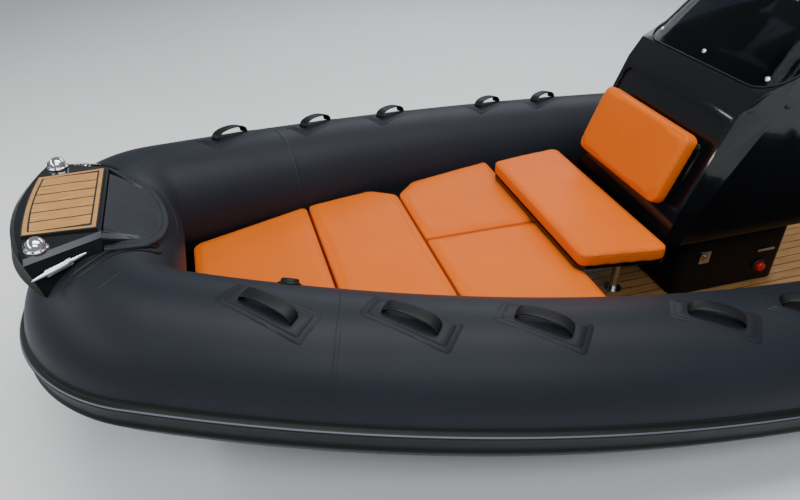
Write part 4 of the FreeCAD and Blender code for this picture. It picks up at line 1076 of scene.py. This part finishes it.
BRACKET_Y = 0.112
BOLT_OUTLINE = [(0.0, 0.0), (0.015, 0.0), (0.015, 0.003), (0.01, 0.003), (0.01, 0.01), (0.008, 0.012),
                (0.0, 0.012)]
PIN_OUTLINE = [(0.0, 0.0), (0.022, 0.0), (0.022, 0.005), (0.018, 0.008), (0.0, 0.008)]
bolts = [turned(BOLT_OUTLINE, 6, (-0.06, BRACKET_Y, z), PORT) for z in (0.075, 0.165)]
bolts.append(turned(PIN_OUTLINE, 40, (-0.07, BRACKET_Y, 0.33), PORT))
piece("clamp_bolts", both(joined(bolts)), STAINLESS)
intakes = [block((0.004, 0.004, 0.046), (x, 0.0415, -0.452), 0.0015)
           for x in (-0.315, -0.328, -0.341, -0.354)]
piece("water_intakes", both(joined(intakes)), RUBBER, "engine")
piece("trim_anode", block((0.075, 0.022, 0.012), (-0.655, 0, -0.35), 0.004), ALLOY, "engine")

# Upholstery: each cushion is a remeshed copy, blown up a little by a cloth run
INNER = 0.0025          # how far the copy starts inside the part's cushion
HELD = 0.012            # height at the foot that the cloth run leaves in place
FRAMES = 20
SETTLE_ROUNDS = 8
RISE_CAP = 0.0065
SINK_CAP = 0.001
SIDE_CAP = 0.0025
SEAM_DEPTH = 0.016
CLOTH = {"quality": 4, "mass": 0.3, "use_pressure": True, "uniform_pressure_force": 4.0,
         "tension_stiffness": 12.0, "compression_stiffness": 12.0, "bending_stiffness": 0.8}


def inner_copy(node, grow):
    """The node's mesh, drawn in a little on each side and then widened in plan by grow."""
    mesh = merged_copy(node, 0)
    low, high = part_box(node)
    middle = (low + high) / 2
    size = high - low
    for vert in mesh.vertices:
        vert.co = middle + Vector([(c - m) * (1 - 2 * INNER / e) for c, m, e in zip(vert.co, middle, size)])
        for k in (0, 1):
            vert.co[k] = middle[k] + (vert.co[k] - middle[k]) * (1 + 2 * grow / (high[k] - low[k]))
    return mesh


def blown(made, out):
    """Run the cloth with a light pressure and keep a capped share of its movement."""
    rest = [v.co.copy() for v in made.data.vertices]
    lowest = min(p.dot(out) for p in rest)
    group = made.vertex_groups.new(name="held")
    group.add([i for i, p in enumerate(rest) if p.dot(out) < lowest + HELD], 1.0, "REPLACE")
    cloth = made.modifiers.new("cloth", "CLOTH")
    for name, value in CLOTH.items():
        setattr(cloth.settings, name, value)
    cloth.settings.vertex_group_mass = "held"
    cloth.settings.effector_weights.gravity = 0.0
    cloth.point_cache.frame_start = 1
    cloth.point_cache.frame_end = FRAMES
    for number in range(1, FRAMES + 1):
        scene.frame_set(number)
    graph = bpy.context.evaluated_depsgraph_get()
    after = [v.co.copy() for v in made.evaluated_get(graph).data.vertices]
    scene.frame_set(1)
    made.modifiers.clear()
    made.vertex_groups.clear()
    moves = [end - start for start, end in zip(rest, after)]
    pairs = [tuple(edge.vertices) for edge in made.data.edges]
    for _ in range(SETTLE_ROUNDS):
        total = [move.copy() for move in moves]
        share = [1] * len(moves)
        for i, j in pairs:
            total[i] += moves[j]
            total[j] += moves[i]
            share[i] += 1
            share[j] += 1
        moves = [move / number for move, number in zip(total, share)]
    for vert, start, move in zip(made.data.vertices, rest, moves):
        rise = max(-SINK_CAP, min(RISE_CAP, move.dot(out)))
        aside = move - out * move.dot(out)
        if aside.length > SIDE_CAP:
            aside = aside.normalized() * SIDE_CAP
        vert.co = start + out * rise + aside


def seam_loop(made, out):
    """Stitched line round a cushion's side, a set depth under its face."""
    tree = tree_of(made.data)
    spots = [v.co for v in made.data.vertices]
    middle = sum(spots, Vector()) / len(spots)
    over = PORT.cross(out).normalized()
    highest = max(p.dot(out) for p in spots)
    level = middle + out * (highest - SEAM_DEPTH - middle.dot(out))
    line = []
    for turn in turns(240):
        way = PORT * cos(turn) + over * sin(turn)
        spot, normal, _, _ = tree.ray_cast(level + way * 3.0, -way)
        line.append(spot + normal * 0.0002)
    return rope_mesh(line, 0.0013, 6, closed=True)


def smoothed(work):
    bmesh.ops.smooth_vert(work, verts=work.verts, factor=0.5,
                          use_axis_x=True, use_axis_y=True, use_axis_z=True)


def tightened(mesh, tree):
    """Even out the voxel steps, bring the points back to the cut shape and soften its edges."""
    work = bmesh.new()
    work.from_mesh(mesh)
    for _ in range(3):
        smoothed(work)
        for vert in work.verts:
            vert.co = vert.co.lerp(tree.find_nearest(vert.co)[0], 0.9)
    smoothed(work)
    smoothed(work)
    work.to_mesh(mesh)
    work.free()


def cushion(node, out=UP, voxel=0.011, grow=0.0):
    """Soft form of a cushion, widened in plan by grow on each side, with its thread."""
    made = bpy.data.objects.new(node + "_soft", inner_copy(node, grow))
    scene.collection.objects.link(made)
    tree = tree_of(made.data)
    grid = made.modifiers.new("grid", "REMESH")
    grid.mode = "VOXEL"
    grid.voxel_size = voxel
    apply_modifiers(made)
    tightened(made.data, tree)
    blown(made, out)
    smooth = made.modifiers.new("smooth", "SUBSURF")
    smooth.levels = 1
    smooth.render_levels = 1
    apply_modifiers(made)
    made.data.materials.append(VINYL)
    shade_smooth(made.data)
    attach(made, body_of[node])
    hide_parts(node)
    piece(node + "_seam", seam_loop(made, out), THREAD, body_of[node])


LEAN = math.atan2(3.769 - 3.607, 1.084 - 0.666)     # of the console's face behind its backrest
for node in ("cushion_bow_1", "cushion_bow_2", "cushion_mid_port", "cushion_mid_starboard"):
    cushion(node, grow=0.0058)
cushion("seat_cushion")
for node in ("bench_cushion", "helm_cushion"):
    cushion(node, voxel=0.014)
cushion("backrest_cushion", Vector((cos(LEAN), 0, sin(LEAN))))
for node in ("bench_backrest", "helm_backrest"):
    cushion(node, Vector((1, 0, 0)), voxel=0.014)

# Floor, light and camera
FLOOR_HALF = 60
floor_mesh = bpy.data.meshes.new("floor")
floor_mesh.from_pydata([(x * FLOOR_HALF, y * FLOOR_HALF, 0) for x, y in ((-1, -1), (1, -1), (1, 1), (-1, 1))],
                       [], [(0, 1, 2, 3)])
floor = bpy.data.objects.new("floor", floor_mesh)
scene.collection.objects.link(floor)
floor_shader = Shader("pale_floor", (0.84, 0.84, 0.83), 0.7, spec=0.1)
floor_shader.drift(0.8, 4.0, (0.83, 0.83, 0.82), (0.86, 0.86, 0.85))
floor_mesh.materials.append(floor_shader.material)
world = bpy.data.worlds.new("studio")
world.use_nodes = True
background = world.node_tree.nodes["Background"]
background.inputs["Color"].default_value = (0.8, 0.85, 0.92, 1.0)
background.inputs["Strength"].default_value = 0.3
scene.world = world


def aimed(made, spot, way):
    scene.collection.objects.link(made)
    made.location = spot
    made.rotation_mode = "QUATERNION"
    made.rotation_quaternion = way.to_track_quat("-Z", "Y")


def area(name, spot, target, size, power, color=(1, 1, 1)):
    data = bpy.data.lights.new(name, "AREA")
    data.shape = "RECTANGLE"
    data.size, data.size_y = size
    data.energy = power
    data.color = color
    aimed(bpy.data.objects.new(name, data), spot, Vector(target) - Vector(spot))


area("top", (4.2, 0.4, 6.0), (4.2, 0.0, 0.5), (6.0, 3.0), 330.0)
area("side", (5.0, 4.6, 5.2), (4.4, 0.8, 0.4), (5.0, 2.0), 190.0, (0.88, 0.93, 1.0))
area("far", (1.5, -5.5, 4.2), (3.2, -0.6, 0.6), (6.0, 2.0), 150.0, (0.9, 0.95, 1.0))
area("bow", (8.7, 0.1, 2.5), (4.4, 0.2, 0.9), (6.5, 0.3), 75.0)

camera_data = bpy.data.cameras.new("camera")
camera_data.sensor_width = 36.0
camera_data.lens = 30.19
camera = bpy.data.objects.new("camera", camera_data)
aimed(camera, EYE, LOOK)
scene.camera = camera
